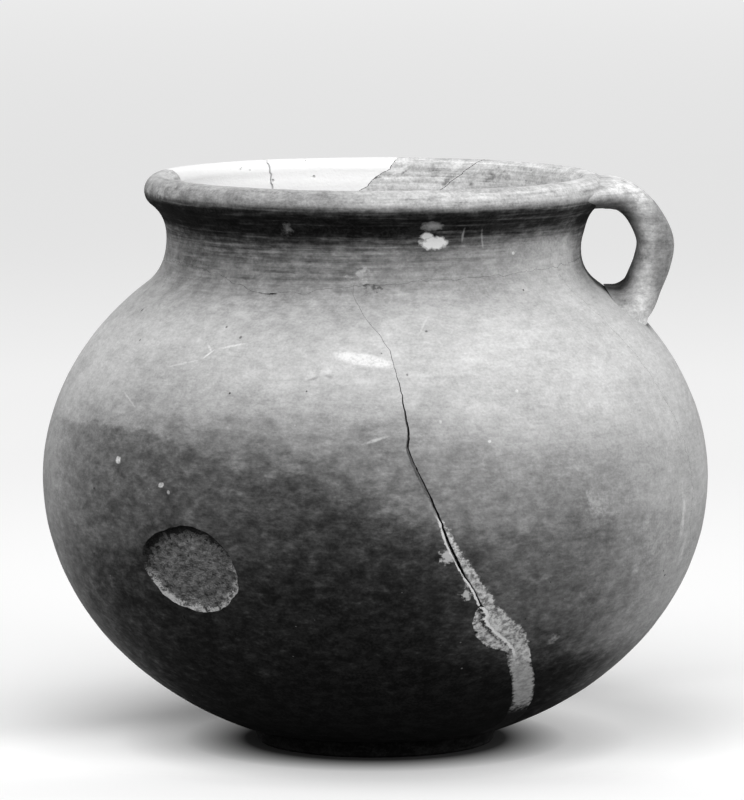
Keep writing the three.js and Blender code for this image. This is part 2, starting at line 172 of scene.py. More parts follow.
class PotColours(PropertyGroup):
    """Colours of the pot and of the stage"""
    clay: FloatVectorProperty(
        name="Clay", description="Wiped, fired clay where no soot lies", default=(0.52, 0.52, 0.52),
        subtype="COLOR", min=0, max=1)
    pale_clay: FloatVectorProperty(
        name="Pale Clay", description="Dust, scratches and rubbed spots on the clay",
        default=(0.72, 0.72, 0.72), subtype="COLOR", min=0, max=1)
    broken_clay: FloatVectorProperty(
        name="Broken Clay", description="Core of the clay where it has split or flaked",
        default=(0.16, 0.16, 0.16), subtype="COLOR", min=0, max=1)
    soot: FloatVectorProperty(
        name="Soot", description="Soot at its thickest", default=(0.003, 0.003, 0.003),
        subtype="COLOR", min=0, max=1)
    plaster: FloatVectorProperty(
        name="Plaster", description="Mending plaster of the fills", default=(0.88, 0.88, 0.88),
        subtype="COLOR", min=0, max=1)
    floor: FloatVectorProperty(
        name="Floor", description="Paper that the pot stands on", default=(1.0, 1.0, 1.0),
        subtype="COLOR", min=0, max=1)


def deselect():
    """Leaves nothing selected, as the operators act on all that is."""
    if bpy.context.object and bpy.context.object.mode == "EDIT":
        bpy.ops.object.mode_set(mode="OBJECT")
    bpy.ops.object.select_all(action="DESELECT")


def pick(piece):
    deselect()
    piece.select_set(True)
    bpy.context.view_layer.objects.active = piece


def edit(piece):
    pick(piece)
    bpy.ops.object.mode_set(mode="EDIT")


def leave_edit():
    bpy.ops.object.mode_set(mode="OBJECT")
    return bpy.context.object


def apply_modifiers(piece):
    pick(piece)
    for name in [m.name for m in piece.modifiers]:
        bpy.ops.object.modifier_apply(modifier=name)


def named(piece, name):
    piece.name = piece.data.name = name
    return piece


def copy_of(piece, name):
    twin = piece.copy()
    twin.data = piece.data.copy()
    bpy.context.collection.objects.link(twin)
    return named(twin, name)


def remove(*pieces):
    for piece in pieces:
        mesh = piece.data
        bpy.data.objects.remove(piece)
        bpy.data.meshes.remove(mesh)


def spun(radius, angle, height):
    """A point at a radius from the axis, an angle in degrees and a height."""
    return Vector((radius * math.cos(math.radians(angle)), radius * math.sin(math.radians(angle)), height))


def select_whole_mesh():
    bpy.ops.mesh.select_all(action="SELECT")


def blend(value, table, column=1, key=0):
    """Value in one column of a table at a key, in straight steps between its rows."""
    rows = sorted(table, key=lambda row: row[key])
    if value <= rows[0][key]:
        return rows[0][column]
    for low, high in zip(rows, rows[1:]):
        if value <= high[key]:
            share = (value - low[key]) / (high[key] - low[key])
            return low[column] + share * (high[column] - low[column])
    return rows[-1][column]


# The thrown outline.

def ellipse_arc(centre, half_width, half_height, start, end, step):
    """Points along an ellipse from one angle to another, about a step apart."""
    reach = abs(math.radians(end - start)) * max(half_width, half_height)
    count = max(3, round(reach / step))
    points = []
    for i in range(count + 1):
        a = math.radians(start + (end - start) * i / count)
        points.append((centre[0] + half_width * math.cos(a), centre[1] + half_height * math.sin(a)))
    return points


def turn_between(start, corner, end, step):
    """The turn of a concave fillet between two points, bent towards a corner."""
    count = max(3, round(math.dist(start, end) / step))
    points = []
    for i in range(count + 1):
        t = i / count
        a, b, c = (1 - t) ** 2, 2 * t * (1 - t), t * t
        points.append((a * start[0] + b * corner[0] + c * end[0], a * start[1] + b * corner[1] + c * end[1]))
    return points


def straight(start, end, step):
    count = max(1, round(math.dist(start, end) / step))
    return [
        (start[0] + (end[0] - start[0]) * i / count, start[1] + (end[1] - start[1]) * i / count)
        for i in range(count + 1)
    ]


def neck_corner(start, radius, half_height, centre_height, neck):
    """Where the shoulder's tangent meets the line of the neck."""
    rise = start[1] - centre_height
    slope = radius * radius * rise / (half_height * half_height * start[0])
    return (neck, start[1] + (start[0] - neck) / slope)


def lip_centre(pot):
    return (pot.neck_radius + pot.lip_overhang - pot.lip_half_width, POT_HEIGHT - pot.lip_half_height)


def shoulder_end(pot):
    share = (pot.neck_radius + pot.neck_fillet) / pot.belly_radius
    return pot.belly_height + pot.shoulder_rise * math.sqrt(1 - share * share)


# The foot's rounded lower edge and the slope of its side, out from its radius, in millimetres: (out, up).
FOOT_EDGE = [(-2.8, 0), (-1.9, 0), (-1.6, 1.1)]
FOOT_TAPER = 0.2
HEEL_DROP = 1.2
HEEL_TURN = 0.4
# Where the lip's outside starts, in degrees below level, and how far up towards it the throat bends away.
LIP_START = -50
THROAT_BEND = 0.65
MOUTH_BEND = 0.6
# Smaller turns are drawn with shorter steps.
TIGHT = 0.6
TIGHTEST = 0.2
# How much lower the shoulder ends inside than outside.
THROAT_DROP = 2 * MM


def outside_line(pot, step):
    """Outside of the body from the foot's edge up to the crest of the lip."""
    low = math.degrees(math.asin((pot.foot_height - pot.belly_height) / pot.belly_drop))
    high = math.degrees(math.asin((shoulder_end(pot) - pot.belly_height) / pot.shoulder_rise))
    middle = (0, pot.belly_height)
    belly = ellipse_arc(middle, pot.belly_radius, pot.belly_drop, low, 0, step)
    shoulder = ellipse_arc(middle, pot.belly_radius, pot.shoulder_rise, 0, high, step)
    neck_top = (pot.neck_radius, shoulder_end(pot) + pot.neck_rise)
    corner = neck_corner(shoulder[-1], pot.belly_radius, pot.shoulder_rise, pot.belly_height, pot.neck_radius)
    neck = turn_between(shoulder[-1], corner, neck_top, step)
    lip = ellipse_arc(
        lip_centre(pot), pot.lip_half_width, pot.lip_half_height, LIP_START, 90, step * TIGHT)
    throat_turn = (pot.neck_radius, neck_top[1] + THROAT_BEND * (lip[0][1] - neck_top[1]))
    throat = turn_between(neck[-1], throat_turn, lip[0], step)
    foot = turn_between(*((pot.foot_radius + out * MM, up * MM) for out, up in FOOT_EDGE), step * TIGHTEST)
    side = straight(foot[-1], (pot.foot_radius - FOOT_TAPER * MM, pot.foot_height - HEEL_DROP * MM), step)
    heel_turn = (pot.foot_radius, pot.foot_height - HEEL_TURN * MM)
    heel = turn_between(side[-1], heel_turn, belly[0], step * TIGHT)
    return foot + side[1:] + heel[1:] + belly[1:] + shoulder[1:] + neck[1:] + throat[1:] + lip[1:]


def inside_line(pot, step):
    """Inside of the body from the crest of the lip down to the middle of the floor."""
    radius = pot.belly_radius - pot.wall
    rise = pot.shoulder_rise - pot.wall
    drop = pot.belly_height - pot.wall
    neck = pot.neck_radius - pot.wall
    middle = (0, pot.belly_height)
    high = math.degrees(math.asin((shoulder_end(pot) - THROAT_DROP - pot.belly_height) / rise))
    shoulder = ellipse_arc(middle, radius, rise, high, 0, step)
    lip = ellipse_arc(lip_centre(pot), pot.lip_half_width, pot.lip_half_height, 90, 180, step * TIGHT)
    neck_top = (neck, shoulder_end(pot) + pot.neck_rise)
    mouth_turn = (neck, neck_top[1] + MOUTH_BEND * (lip[-1][1] - neck_top[1]))
    mouth = turn_between(lip[-1], mouth_turn, neck_top, step)
    corner = neck_corner(shoulder[0], radius, rise, pot.belly_height, neck)
    throat = turn_between(neck_top, corner, shoulder[0], step)
    belly = ellipse_arc(middle, radius, drop, 0, -90, step)
    return lip[1:] + mouth[1:] + throat[1:] + shoulder[1:] + belly[1:]


def radius_at(line, height):
    """Radius of an outside line at a height."""
    for low, high in zip(line, line[1:]):
        if height <= high[1]:
            if high[1] - low[1] < 1e-9:
                return high[0]
            share = max(0.0, (height - low[1]) / (high[1] - low[1]))
            return low[0] + share * (high[0] - low[0])
    return line[-1][0]


def lathe(name, line, turns):
    """A closed form turned about the pot's axis. Its line is drawn by extruding one point, then spun."""
    deselect()
    bpy.ops.mesh.primitive_plane_add(size=MM, location=(0, 0, 0))
    form = named(bpy.context.object, name)
    edit(form)
    select_whole_mesh()
    bpy.ops.mesh.merge(type="CENTER")
    if line[0][0] or line[0][1]:
        bpy.ops.transform.translate(value=(line[0][0], 0, line[0][1]))
    for before, after in zip(line, line[1:]):
        bpy.ops.mesh.extrude_region_move(
            TRANSFORM_OT_translate={"value": (after[0] - before[0], 0, after[1] - before[1])})
    leave_edit()
    wheel = form.modifiers.new("Wheel", "SCREW")
    wheel.steps = wheel.render_steps = turns
    wheel.use_merge_vertices = True
    wheel.merge_threshold = 1e-6
    apply_modifiers(form)
    edit(form)
    select_whole_mesh()
    bpy.ops.mesh.remove_doubles(threshold=2e-6)
    bpy.ops.mesh.normals_make_consistent(inside=False)
    return leave_edit()


def loft(name, rings):
    """A closed form drawn ring by ring: the end face is extruded and its points are set out each time."""
    deselect()
    bpy.ops.mesh.primitive_circle_add(vertices=len(rings[0]), radius=MM, fill_type="NGON")
    form = named(bpy.context.object, name)
    edit(form)
    shape = bmesh.from_edit_mesh(form.data)
    place = shape.verts.layers.int.new("place")
    shape.verts.ensure_lookup_table()
    for i, vertex in enumerate(shape.verts):
        vertex[place] = i
        vertex.co = rings[0][i]
    for ring in rings[1:]:
        bpy.ops.mesh.extrude_region_move(TRANSFORM_OT_translate={"value": (0, 0, 0)})
        shape = bmesh.from_edit_mesh(form.data)
        place = shape.verts.layers.int["place"]
        for vertex in shape.verts:
            if vertex.select:
                vertex.co = ring[vertex[place]]
    bmesh.update_edit_mesh(form.data)
    select_whole_mesh()
    bpy.ops.mesh.normals_make_consistent(inside=False)
    return leave_edit()


def roughen(piece, name, size, depth, group):
    """Wears a surface inwards by an uneven depth, so that it never grows past its size."""
    grain = bpy.data.textures.new(name, "CLOUDS")
    grain.noise_scale = size
    grain.noise_depth = 2
    grain.noise_basis = "ORIGINAL_PERLIN"
    wear = piece.modifiers.new(name, "DISPLACE")
    wear.texture = grain
    wear.strength = depth
    wear.mid_level = 1.0
    wear.vertex_group = group


# The hollow under the handle: its middle above the shoulder's end, half its height, its depth in millimetres,
# and how far round it reaches in degrees.
HOLLOW_RISE = 3.5
HOLLOW_HALF_HEIGHT = 13
HOLLOW_DEPTH = 1.7
HOLLOW_REACH = 22


def press_thumb_hollow(body, pot, line):
    """The shallow hollow that the potter's thumb left on the neck under the handle."""
    middle = shoulder_end(pot) + HOLLOW_RISE * MM
    for vertex in body.data.vertices:
        x, y, z = vertex.co
        off = (z - middle) / (HOLLOW_HALF_HEIGHT * MM)
        if abs(off) >= 1 or x < 0:
            continue
        radius = math.hypot(x, y)
        if abs(radius - radius_at(line, z)) < pot.wall / 2:
            turn = math.degrees(math.atan2(y, x)) / HOLLOW_REACH
            pressed = HOLLOW_DEPTH * MM * (1 - off * off) * math.exp(-turn * turn)
            vertex.co.x -= pressed * x / radius
            vertex.co.y -= pressed * y / radius


# How a hand leaves the skin uneven: (name, size of the lumps, depth), in metres.
HAND_WEAR = [("Hand Unevenness", 0.030, 0.0004), ("Hand Lumps", 0.008, 0.00018)]


def throw_body(pot):
    """The whole thrown body, still in one piece, with the unevenness of handwork."""
    step = pot.fineness
    outside = outside_line(pot, step)
    line = straight((0, 0), outside[0], 4 * step) + outside[1:] + inside_line(pot, step)
    body = lathe("thrown_body", line, pot.turns)
    press_thumb_hollow(body, pot, outside)
    skin = body.vertex_groups.new(name="skin")
    skin.add([
        v.index for v in body.data.vertices
        if v.co.z > MM and v.co.xy.length > radius_at(outside, v.co.z) - pot.wall / 2], 1.0, "REPLACE")
    for name, size, depth in HAND_WEAR:
        roughen(body, name, size, depth, "skin")
    apply_modifiers(body)
    return body


# Breaks, and the sherds that fall out along them.

# Length of the coarse teeth of a broken edge, in millimetres.
TOOTH_LENGTH = 2.6


def jagged(at, size):
    """Small uneven step of a broken edge at a height along it, the same each time."""
    coarse = noise.noise(Vector((at / TOOTH_LENGTH, 3.7, size * 9e3)))
    fine = noise.noise(Vector((at / TOOTH_LENGTH * 3.1, 8.2, size * 9e3)))
    return size * (coarse + 0.5 * fine)


# How far a blade reaches in behind the skin: (height, depth). It is deep at the floor and at the lip.
BLADE_DEPTH = [(40, 16), (60, 9), (135, 9), (150, 16)]
# How far it stands out of the skin, its lowest and highest rings, and the height of its steps.
BLADE_OUT = 5
BLADE_BOTTOM = -25.0
BLADE_TOP = 195.0
BLADE_STEP = 0.6


def break_blade(name, line, stations, gap, raggedness, low=None, high=None):
    """A thin upright blade through the wall along a break, whose two sides stay the gap apart."""
    heights = [BLADE_BOTTOM]
    ends = [min(s[1] for s in stations), max(s[1] for s in stations)]
    count = max(2, round((ends[1] - ends[0]) / BLADE_STEP))
    heights += [ends[0] + (ends[1] - ends[0]) * i / count for i in range(count + 1)]
    heights += [s[1] for s in stations] + [BLADE_TOP]
    if high is not None:
        heights = [h for h in heights if h < high] + [high]
    if low is not None:
        heights = [low] + [h for h in heights if h > low]
    rings = []
    for height in sorted(set(round(h, 3) for h in heights)):
        radius = radius_at(line, height * MM) / MM
        angle = blend(height, stations, 0, 1)
        sides = (gap / 2, gap / 2)
        if len(stations[0]) > 2:
            sides = (blend(height, stations, 2, 1), blend(height, stations, 3, 1))
        step = jagged(height, raggedness)
        west = angle + math.degrees((step - sides[0]) / radius)
        east = angle + math.degrees((step + sides[1]) / radius)
        near, far = radius - blend(height, BLADE_DEPTH), radius + BLADE_OUT
        rings.append([
            spun(r, a, height) * MM for r, a in ((near, west), (far, west), (far, east), (near, east))])
    return loft(name, rings)


def made_blade(sheet, pot):
    """Gives a sheet the width of a break, so that it cuts."""
    gap = sheet.modifiers.new("Gap", "SOLIDIFY")
    gap.thickness = pot.break_gap
    gap.offset = 0
    apply_modifiers(sheet)
    return sheet


# How far in from the neck the ring starts, in metres, how many times wider its outside is, and its waver in
# millimetres: (depth, how close).
NECK_RING_IN = 0.016
NECK_RING_SPREAD = 1.75
NECK_WAVER = [(0.9, 12), (0.5, 37)]


def neck_ring(pot):
    """A thin ring through the neck's foot, along the break between the wall and the rim."""
    deselect()
    inner = pot.neck_radius - NECK_RING_IN
    bpy.ops.mesh.primitive_circle_add(vertices=480, radius=inner, fill_type="NOTHING")
    ring = named(bpy.context.object, "neck_ring")
    edit(ring)
    select_whole_mesh()
    bpy.ops.mesh.extrude_region_move(TRANSFORM_OT_translate={"value": (0, 0, 0)})
    bpy.ops.transform.resize(value=(NECK_RING_SPREAD, NECK_RING_SPREAD, 1), center_override=(0, 0, 0))
    leave_edit()
    first = NECK_BREAK[0][0]
    around = NECK_BREAK + [(first + 360, NECK_BREAK[0][1])]
    for vertex in ring.data.vertices:
        angle = math.degrees(math.atan2(vertex.co.y, vertex.co.x))
        turned = (angle - first) % 360 + first
        spot = Vector(vertex.co.xy).normalized().to_3d()
        step = sum(depth * noise.noise(spot * close) for depth, close in NECK_WAVER)
        vertex.co.z = (blend(turned, around) + step) * MM
    return made_blade(ring, pot)


# The break round the foot: its mean radius in millimetres, and the ring's lower edge and height in metres.
BASE_BREAK = 46
BASE_RING_BOTTOM = -0.01
BASE_RING_HEIGHT = 0.05
# How it strays from that radius, in millimetres: in (share, waves round the pot, start) and in small teeth.
BASE_WAVER = 2.6
BASE_WAVES = [(0.6, 3, 0.8), (0.4, 7, 2)]
BASE_TEETH = 0.8
BASE_TEETH_CLOSE = 14


def base_ring(pot):
    """A thin upright ring through the base, along the break round the foot."""
    deselect()
    bpy.ops.mesh.primitive_circle_add(
        vertices=360, radius=BASE_BREAK * MM, fill_type="NOTHING", location=(0, 0, BASE_RING_BOTTOM))
    ring = named(bpy.context.object, "base_ring")
    bpy.ops.object.transform_apply(location=True, rotation=False, scale=False)
    for vertex in ring.data.vertices:
        a = math.atan2(vertex.co.y, vertex.co.x)
        spot = Vector((math.cos(a), math.sin(a), 0.4))
        waver = BASE_WAVER * sum(share * math.sin(waves * a + start) for share, waves, start in BASE_WAVES)
        waver += BASE_TEETH * noise.noise(spot * BASE_TEETH_CLOSE)
        vertex.co.x = (BASE_BREAK + waver) * MM * math.cos(a)
        vertex.co.y = (BASE_BREAK + waver) * MM * math.sin(a)
    edit(ring)
    select_whole_mesh()
    bpy.ops.mesh.extrude_region_move(TRANSFORM_OT_translate={"value": (0, 0, BASE_RING_HEIGHT)})
    leave_edit()
    return made_blade(ring, pot)


# A piece that is left with fewer faces than this has been cut away.
FEWEST_FACES = 12


def carve(piece, tool, operation="DIFFERENCE"):
    """Cuts a tool out of a piece, or keeps what lies within it, and stops the script if nothing is left."""
    if not tool.data.materials:
        tool.data.materials.append(bpy.data.materials["Broken Clay"])
    cut = piece.modifiers.new("Cut", "BOOLEAN")
    cut.operation = operation
    cut.object = tool
    cut.solver = "MANIFOLD"
    cut.material_mode = "TRANSFER"
    apply_modifiers(piece)
    if len(piece.data.polygons) < FEWEST_FACES:
        raise RuntimeError(f"cutting {piece.name} with {tool.name} left nothing")


def cut_along(stock, name, line, stations, gap, raggedness, low=None):
    """Cuts one break through a piece that is still whole there."""
    blade = break_blade(name, line, stations, gap / MM, raggedness, low=low)
    carve(stock, blade)
    remove(blade)


def middle_angle(piece):
    corners = [Vector(c) for c in piece.bound_box]
    middle = sum(corners, Vector()) / 8
    return math.degrees(math.atan2(middle.y, middle.x))


def loose_parts(stock):
    pick(stock)
    bpy.ops.mesh.separate(type="LOOSE")
    parts = list(bpy.context.selected_objects)
    bpy.context.view_layer.update()
    return parts


# A sherd has more faces than this, and its middle lies no further than this from its angle, in degrees.
LARGE_SHERD = 400
FARTHEST_TURN = 40


def name_by_angle(parts, names):
    """Gives each name to the large part whose middle lies nearest its angle, and clears the crumbs."""
    chosen = {}
    large = [p for p in parts if len(p.data.polygons) > LARGE_SHERD]
    for name, angle in names.items():
        def away(part):
            return abs((middle_angle(part) - angle + 180) % 360 - 180)
        part = min(large, key=away)
        if part in chosen.values() or away(part) > FARTHEST_TURN:
            raise RuntimeError(f"no sherd lies at {angle} degrees for {name}")
        chosen[name] = named(part, name)
    remove(*[p for p in parts if p not in chosen.values()])
    return chosen


# Where a flake of the wall has come away: (direction round its middle, reach in millimetres), counted from
# the handle's side up.
SPALL_ANGLE = -123.4
SPALL_HEIGHT = 62.1
SPALL_OUTLINE = [
    (-180, 17.3), (-171, 16.1), (-157, 14.5), (-143, 14.4), (-128, 13.6), (-108, 12.9), (-88, 13.5),
    (-68, 14.6), (-55, 15.2), (-41, 15.8), (-23, 16.9), (-13, 17.3), (0, 17.2), (15, 16.4), (31, 15.9),
    (45, 15.3), (59, 15.1), (80, 14.7), (100, 14.3), (121, 14.6), (142, 16.2), (160, 17.6), (171, 17.5),
    (180, 17.3),
]
SPALL_SQUASH = 0.965
SPALL_WAVER = 0.025
# Its floor, in millimetres: how deep it lies under the skin, how much deeper its middle is, how it tips up to
# the lower right, how rough it is, and how far its cutter stands out of the skin at the rim and at the top.
SPALL_DEPTH = 1.75
SPALL_DISH = 1.0
SPALL_TIP = 0.028
SPALL_GRAIN = 0.55
SPALL_RIM = 0.7
SPALL_CLEAR = 8.0
# The direction in which it slopes out most gently, and the share of its reach that the steepest slope takes
# up and that the gentlest one adds to it.
SPALL_GENTLE_TURN = -62
SPALL_STEEP = 0.03
SPALL_GENTLE = 0.19


def skin_point(pot, angle, height, lift):
    """A point on the belly at an angle and a height, in metres, lifted off its skin."""
    half = pot.shoulder_rise if height > pot.belly_height else pot.belly_drop
    off = (height - pot.belly_height) / half
    radius = pot.belly_radius * math.sqrt(max(0.0, 1 - off * off))
    normal = Vector((radius / pot.belly_radius ** 2, (height - pot.belly_height) / half ** 2)).normalized()
    return spun(radius + lift * normal.x, angle, height + lift * normal.y)


def spall_cutter(pot):
    """The flake's own shape: a rough floor, steep on the upper left and sloping out on the lower right."""
    deselect()
    bpy.ops.mesh.primitive_grid_add(x_subdivisions=110, y_subdivisions=110, size=2)
    flake = named(bpy.context.object, "spall_cutter")
    edit(flake)
    select_whole_mesh()
    bpy.ops.mesh.extrude_region_move(TRANSFORM_OT_translate={"value": (0, 0, 1)})
    select_whole_mesh()
    bpy.ops.mesh.normals_make_consistent(inside=False)
    leave_edit()
    for vertex in flake.data.vertices:
        a, b, top = vertex.co
        t = a * math.sqrt(1 - b * b / 2)
        v = b * math.sqrt(1 - a * a / 2)
        share = math.hypot(t, v)
        turn = math.degrees(math.atan2(v, t))
        reach = blend(turn, SPALL_OUTLINE) * (1 + SPALL_WAVER * noise.noise(spun(1, turn, 1) * 5))
        east, up = t * reach, v * reach
        slope = 0.5 + 0.5 * math.cos(math.radians(turn - SPALL_GENTLE_TURN))
        bevel = SPALL_STEEP + SPALL_GENTLE * slope ** 2
        rise = min(1.0, max(0.0, (share - 1 + bevel) / bevel))
        spot = Vector((east, up, 0))
        grain = SPALL_GRAIN * noise.fractal(spot * 0.42, 0.9, 2.1, 4)
        floor = -(SPALL_DEPTH + SPALL_DISH * (1 - share * share) - SPALL_TIP * (east - up)) + grain
        lift = floor + (SPALL_RIM - floor) * rise if top < 0.5 else SPALL_CLEAR
        height = SPALL_HEIGHT + up * SPALL_SQUASH
        radius = math.hypot(*skin_point(pot, 0, height * MM, 0).xy)
        angle = SPALL_ANGLE + math.degrees(east * MM / radius)
        vertex.co = skin_point(pot, angle, height * MM, lift * MM)
    return flake


# The strap handle.

def smooth_path(points, count):
    """Even steps along a centripetal curve through points, as (place, direction)."""
    ends = [points[0] * 2 - points[1]] + points + [points[-1] * 2 - points[-2]]
    dense = []
    for p0, p1, p2, p3 in zip(ends, ends[1:], ends[2:], ends[3:]):
        t0 = (p1 - p0).length ** 0.5
        t1 = (p2 - p1).length ** 0.5
        t2 = (p3 - p2).length ** 0.5
        out = ((p1 - p0) / t0 - (p2 - p0) / (t0 + t1) + (p2 - p1) / t1) * t1
        back = ((p2 - p1) / t1 - (p3 - p1) / (t1 + t2) + (p3 - p2) / t2) * t1
        for i in range(40):
            s = i / 40
            bend = p2 * 3 - p1 * 3 - out * 2 - back
            dense.append(p1 + out * s + bend * s * s + (p1 * 2 - p2 * 2 + out + back) * s ** 3)
    dense.append(points[-1])
    lengths = [0.0]
    for a, b in zip(dense, dense[1:]):
        lengths.append(lengths[-1] + (b - a).length)
    path = []
    for i in range(count + 1):
        goal = lengths[-1] * i / count
        k = min(len(dense) - 2, max(j for j in range(len(lengths)) if lengths[j] <= goal + 1e-12))
        share = (goal - lengths[k]) / (lengths[k + 1] - lengths[k])
        path.append((dense[k].lerp(dense[k + 1], share), (dense[k + 1] - dense[k]).normalized()))
    return path


# The strap's centre line, in millimetres: round its bend, from its furthest reach and the pot's top, then
# down into the shoulder, from its root there: (out, up).
STRAP_BEND = [(-9.4, -7.0), (-4.6, -10.9), (0, -20), (-0.8, -26.5)]
STRAP_FOOT = [(2.2, 8), (-0.4, 2.2), (-5, -2), (-13, -7)]
STRAP_REACH = 19.9
STRAP_LEVEL = 5.9
ROOT_DROP = 8


def strap_points(pot, line):
    """Centre line of the strap, from inside the lip round to inside the shoulder."""
    lip = lip_centre(pot)
    lip_radius = pot.neck_radius + pot.lip_overhang
    far = lip_radius + STRAP_REACH * MM - pot.strap_thickness / 2
    root_height = shoulder_end(pot) - ROOT_DROP * MM
    root = radius_at(line, root_height)
    level = POT_HEIGHT - STRAP_LEVEL * MM
    points = [Vector((lip[0] - 1.5 * pot.lip_half_width, 0, level)), Vector((lip_radius + MM, 0, level))]
    points += [Vector((far + out * MM, 0, POT_HEIGHT + up * MM)) for out, up in STRAP_BEND]
    points += [Vector((root + out * MM, 0, root_height + up * MM)) for out, up in STRAP_FOOT]
    return points


def softened(value, squareness=0.8):
    return math.copysign(abs(value) ** squareness, value)


def off_skin(line, at):
    """How far a point stands off the pot's skin, and the way out from the skin there."""
    slope = (radius_at(line, at.z + MM) - radius_at(line, at.z - MM)) / (2 * MM)
    slope = min(1.5, max(-1.5, slope))
    out = Vector((at.x, at.y, -slope * at.xy.length)).normalized()
    return (at.xy.length - radius_at(line, at.z)) / math.hypot(1, slope), out


# How softly the flare starts, and how near the strap's middle it fades, in millimetres.
FLARE_SOFTNESS = 1.5
FLARE_CORE = 4


def flared(point, middle, line, reach):
    """A point of the strap, pushed out along the pot's skin when it is near, as wet clay is smeared on."""
    gap, out = off_skin(line, point)
    if gap >= reach:
        return point
    along = point - middle
    along -= out * along.dot(out)
    spread = (reach - max(gap, 0)) ** 2 / (FLARE_SOFTNESS * reach) + max(0, -gap)
    return point + along.normalized() * spread * min(1, along.length / (FLARE_CORE * MM))


# Half width of the strap where it is smeared out along the lip: (distance from the pot's axis, half width).
STRAP_WEB = [
    (56, 37.2), (60, 32.6), (63.3, 27.8), (66.8, 22.9), (70, 18.4), (73.1, 14.9), (77, 11.3), (81, 10)]
# How squarely it is smeared out there.
STRAP_WEB_SQUARE = 2.5
# How it thins towards its edges: (half width where that starts, share lost, how fast).
STRAP_THINNING = [(10, 0.45, 1), (20, 0.2, 2)]
# The shares of the strap's length where it is as thick as its crown, and where it has its plain thickness.
STRAP_CROWN_AT = 0.22
STRAP_PLAIN_AT = 0.5
# The share of the strap's length where its crown ends and the part that falls to the shoulder starts, how far
# off the shoulder it starts to widen, and how far off it starts to flare: at its inner side and more outside.
STRAP_FALL = 0.4
ROOT_REACH = 13
FLARE_REACH = 1.5
OUTER_FLARE = 4.5


def strap(pot, line, steps=120, sides=72):
    """The strap, a squarish oval carried along its centre line, widened and flared where it lands."""
    path = smooth_path(strap_points(pot, line), steps)
    rings = []
    for i, (at, forward) in enumerate(path):
        inward = Vector((forward.z, 0, -forward.x))
        share = i / steps
        spread = blend(at.x / MM, STRAP_WEB) * MM
        if share > STRAP_FALL:
            away = min(1.0, max(0.0, (at.x - radius_at(line, at.z)) / (ROOT_REACH * MM)))
            near = 1 - away * away * (3 - 2 * away)
            spread = (pot.strap_width + (pot.strap_root_width - pot.strap_width) * near) / 2
        extra = spread - pot.strap_width / 2
        thick = blend(share, [(STRAP_CROWN_AT, pot.strap_crown), (STRAP_PLAIN_AT, pot.strap_thickness)]) / 2
        ring = []
        for k in range(sides):
            a = 2 * math.pi * k / sides
            across = softened(math.cos(a)) * pot.strap_width / 2
            across += extra * max(-1, min(1, STRAP_WEB_SQUARE * math.cos(a)))
            offset = inward * softened(math.sin(a)) * thick
            offset *= 1 - sum(
                lost * min(1, max(0, abs(across) / (start * MM) - 1) * fast)
                for start, lost, fast in STRAP_THINNING)
            plain = Vector((at.x + offset.x, across, at.z + offset.z))
            if share > STRAP_FALL:
                reach = FLARE_REACH + OUTER_FLARE * min(1, 1 + math.sin(a))
                plain = flared(plain, at, line, reach * MM)
            ring.append(plain)
        rings.append(ring)
    return loft("strap", rings)


# The stopper's lowest level, in metres, and the steps it is spun in.
STOPPER_BOTTOM = 2 * MM
STOPPER_TURNS = 240


def stopper(pot, line, sunk):
    """The pot as if filled to the brim, a little smaller, to trim the strap to the lip and the shoulder."""
    shrunk = []
    for i, (r, z) in enumerate(line):
        before, after = line[max(i - 1, 0)], line[min(i + 1, len(line) - 1)]
        along = Vector((after[0] - before[0], after[1] - before[1])).normalized()
        shrunk.append((r - along.y * sunk, z + along.x * sunk))
    top = shrunk[-1][1]
    side = [spot for spot in shrunk if spot[1] > STOPPER_BOTTOM]
    return lathe("stopper", [(0, STOPPER_BOTTOM), *side, (0, top)], STOPPER_TURNS)


# Finishes. Effects that several materials share are shader groups. Unless a line says otherwise, lengths in
# them are in millimetres and angles in degrees.

class Flow:
    """A value that runs from one shader node to the next, and adds and multiplies as a number does."""

    def __init__(self, socket):
        self.socket = socket
        self.tree = socket.id_data

    def __add__(self, other):
        return maths("ADD", self, other)

    def __sub__(self, other):
        return maths("SUBTRACT", self, other)

    def __rsub__(self, other):
        return maths("SUBTRACT", other, self)

    def __mul__(self, other):
        return maths("MULTIPLY", self, other)

    def __truediv__(self, other):
        return maths("DIVIDE", self, other)

    def __rtruediv__(self, other):
        return maths("DIVIDE", other, self)

    __radd__ = __add__
    __rmul__ = __mul__


def plug(value, socket):
    """Links a value to a socket, or sets it there where it is a plain number, place or colour."""
    if isinstance(value, Flow):
        socket.id_data.links.new(value.socket, socket)
    else:
        socket.default_value = value


def node(tree, kind, inputs=None, **settings):
    """Adds a shader node, sets its options, and fills or links its inputs."""
    made = tree.nodes.new("ShaderNode" + kind)
    for name, value in settings.items():
        setattr(made, name, value)
    for socket, value in (inputs or {}).items():
        plug(value, made.inputs[socket])
    return made


def tree_of(values):
    return next(value.tree for value in values if isinstance(value, Flow))


def maths(operation, *values, clamp=False):
    """One step of arithmetic with shader values and plain numbers."""
    made = node(tree_of(values), "Math", dict(enumerate(values)), operation=operation, use_clamp=clamp)
    return Flow(made.outputs[0])


def larger(*values):
    return maths("MAXIMUM", *values)


def scaled(vector, factor):
    """A place or a colour times a value."""
    made = node(tree_of((vector, factor)), "VectorMath", {0: vector, "Scale": factor}, operation="SCALE")
    return Flow(made.outputs["Vector"])


def moved(place, step, way="ADD"):
    """A place moved by a step, or taken from it."""
    return Flow(node(place.tree, "VectorMath", {0: place, 1: step}, operation=way).outputs["Vector"])


def length_of(place):
    return Flow(node(place.tree, "VectorMath", {0: place}, operation="LENGTH").outputs["Value"])


def parted(place):
    """The three parts of a place."""
    return [Flow(part) for part in node(place.tree, "SeparateXYZ", {0: place}).outputs]


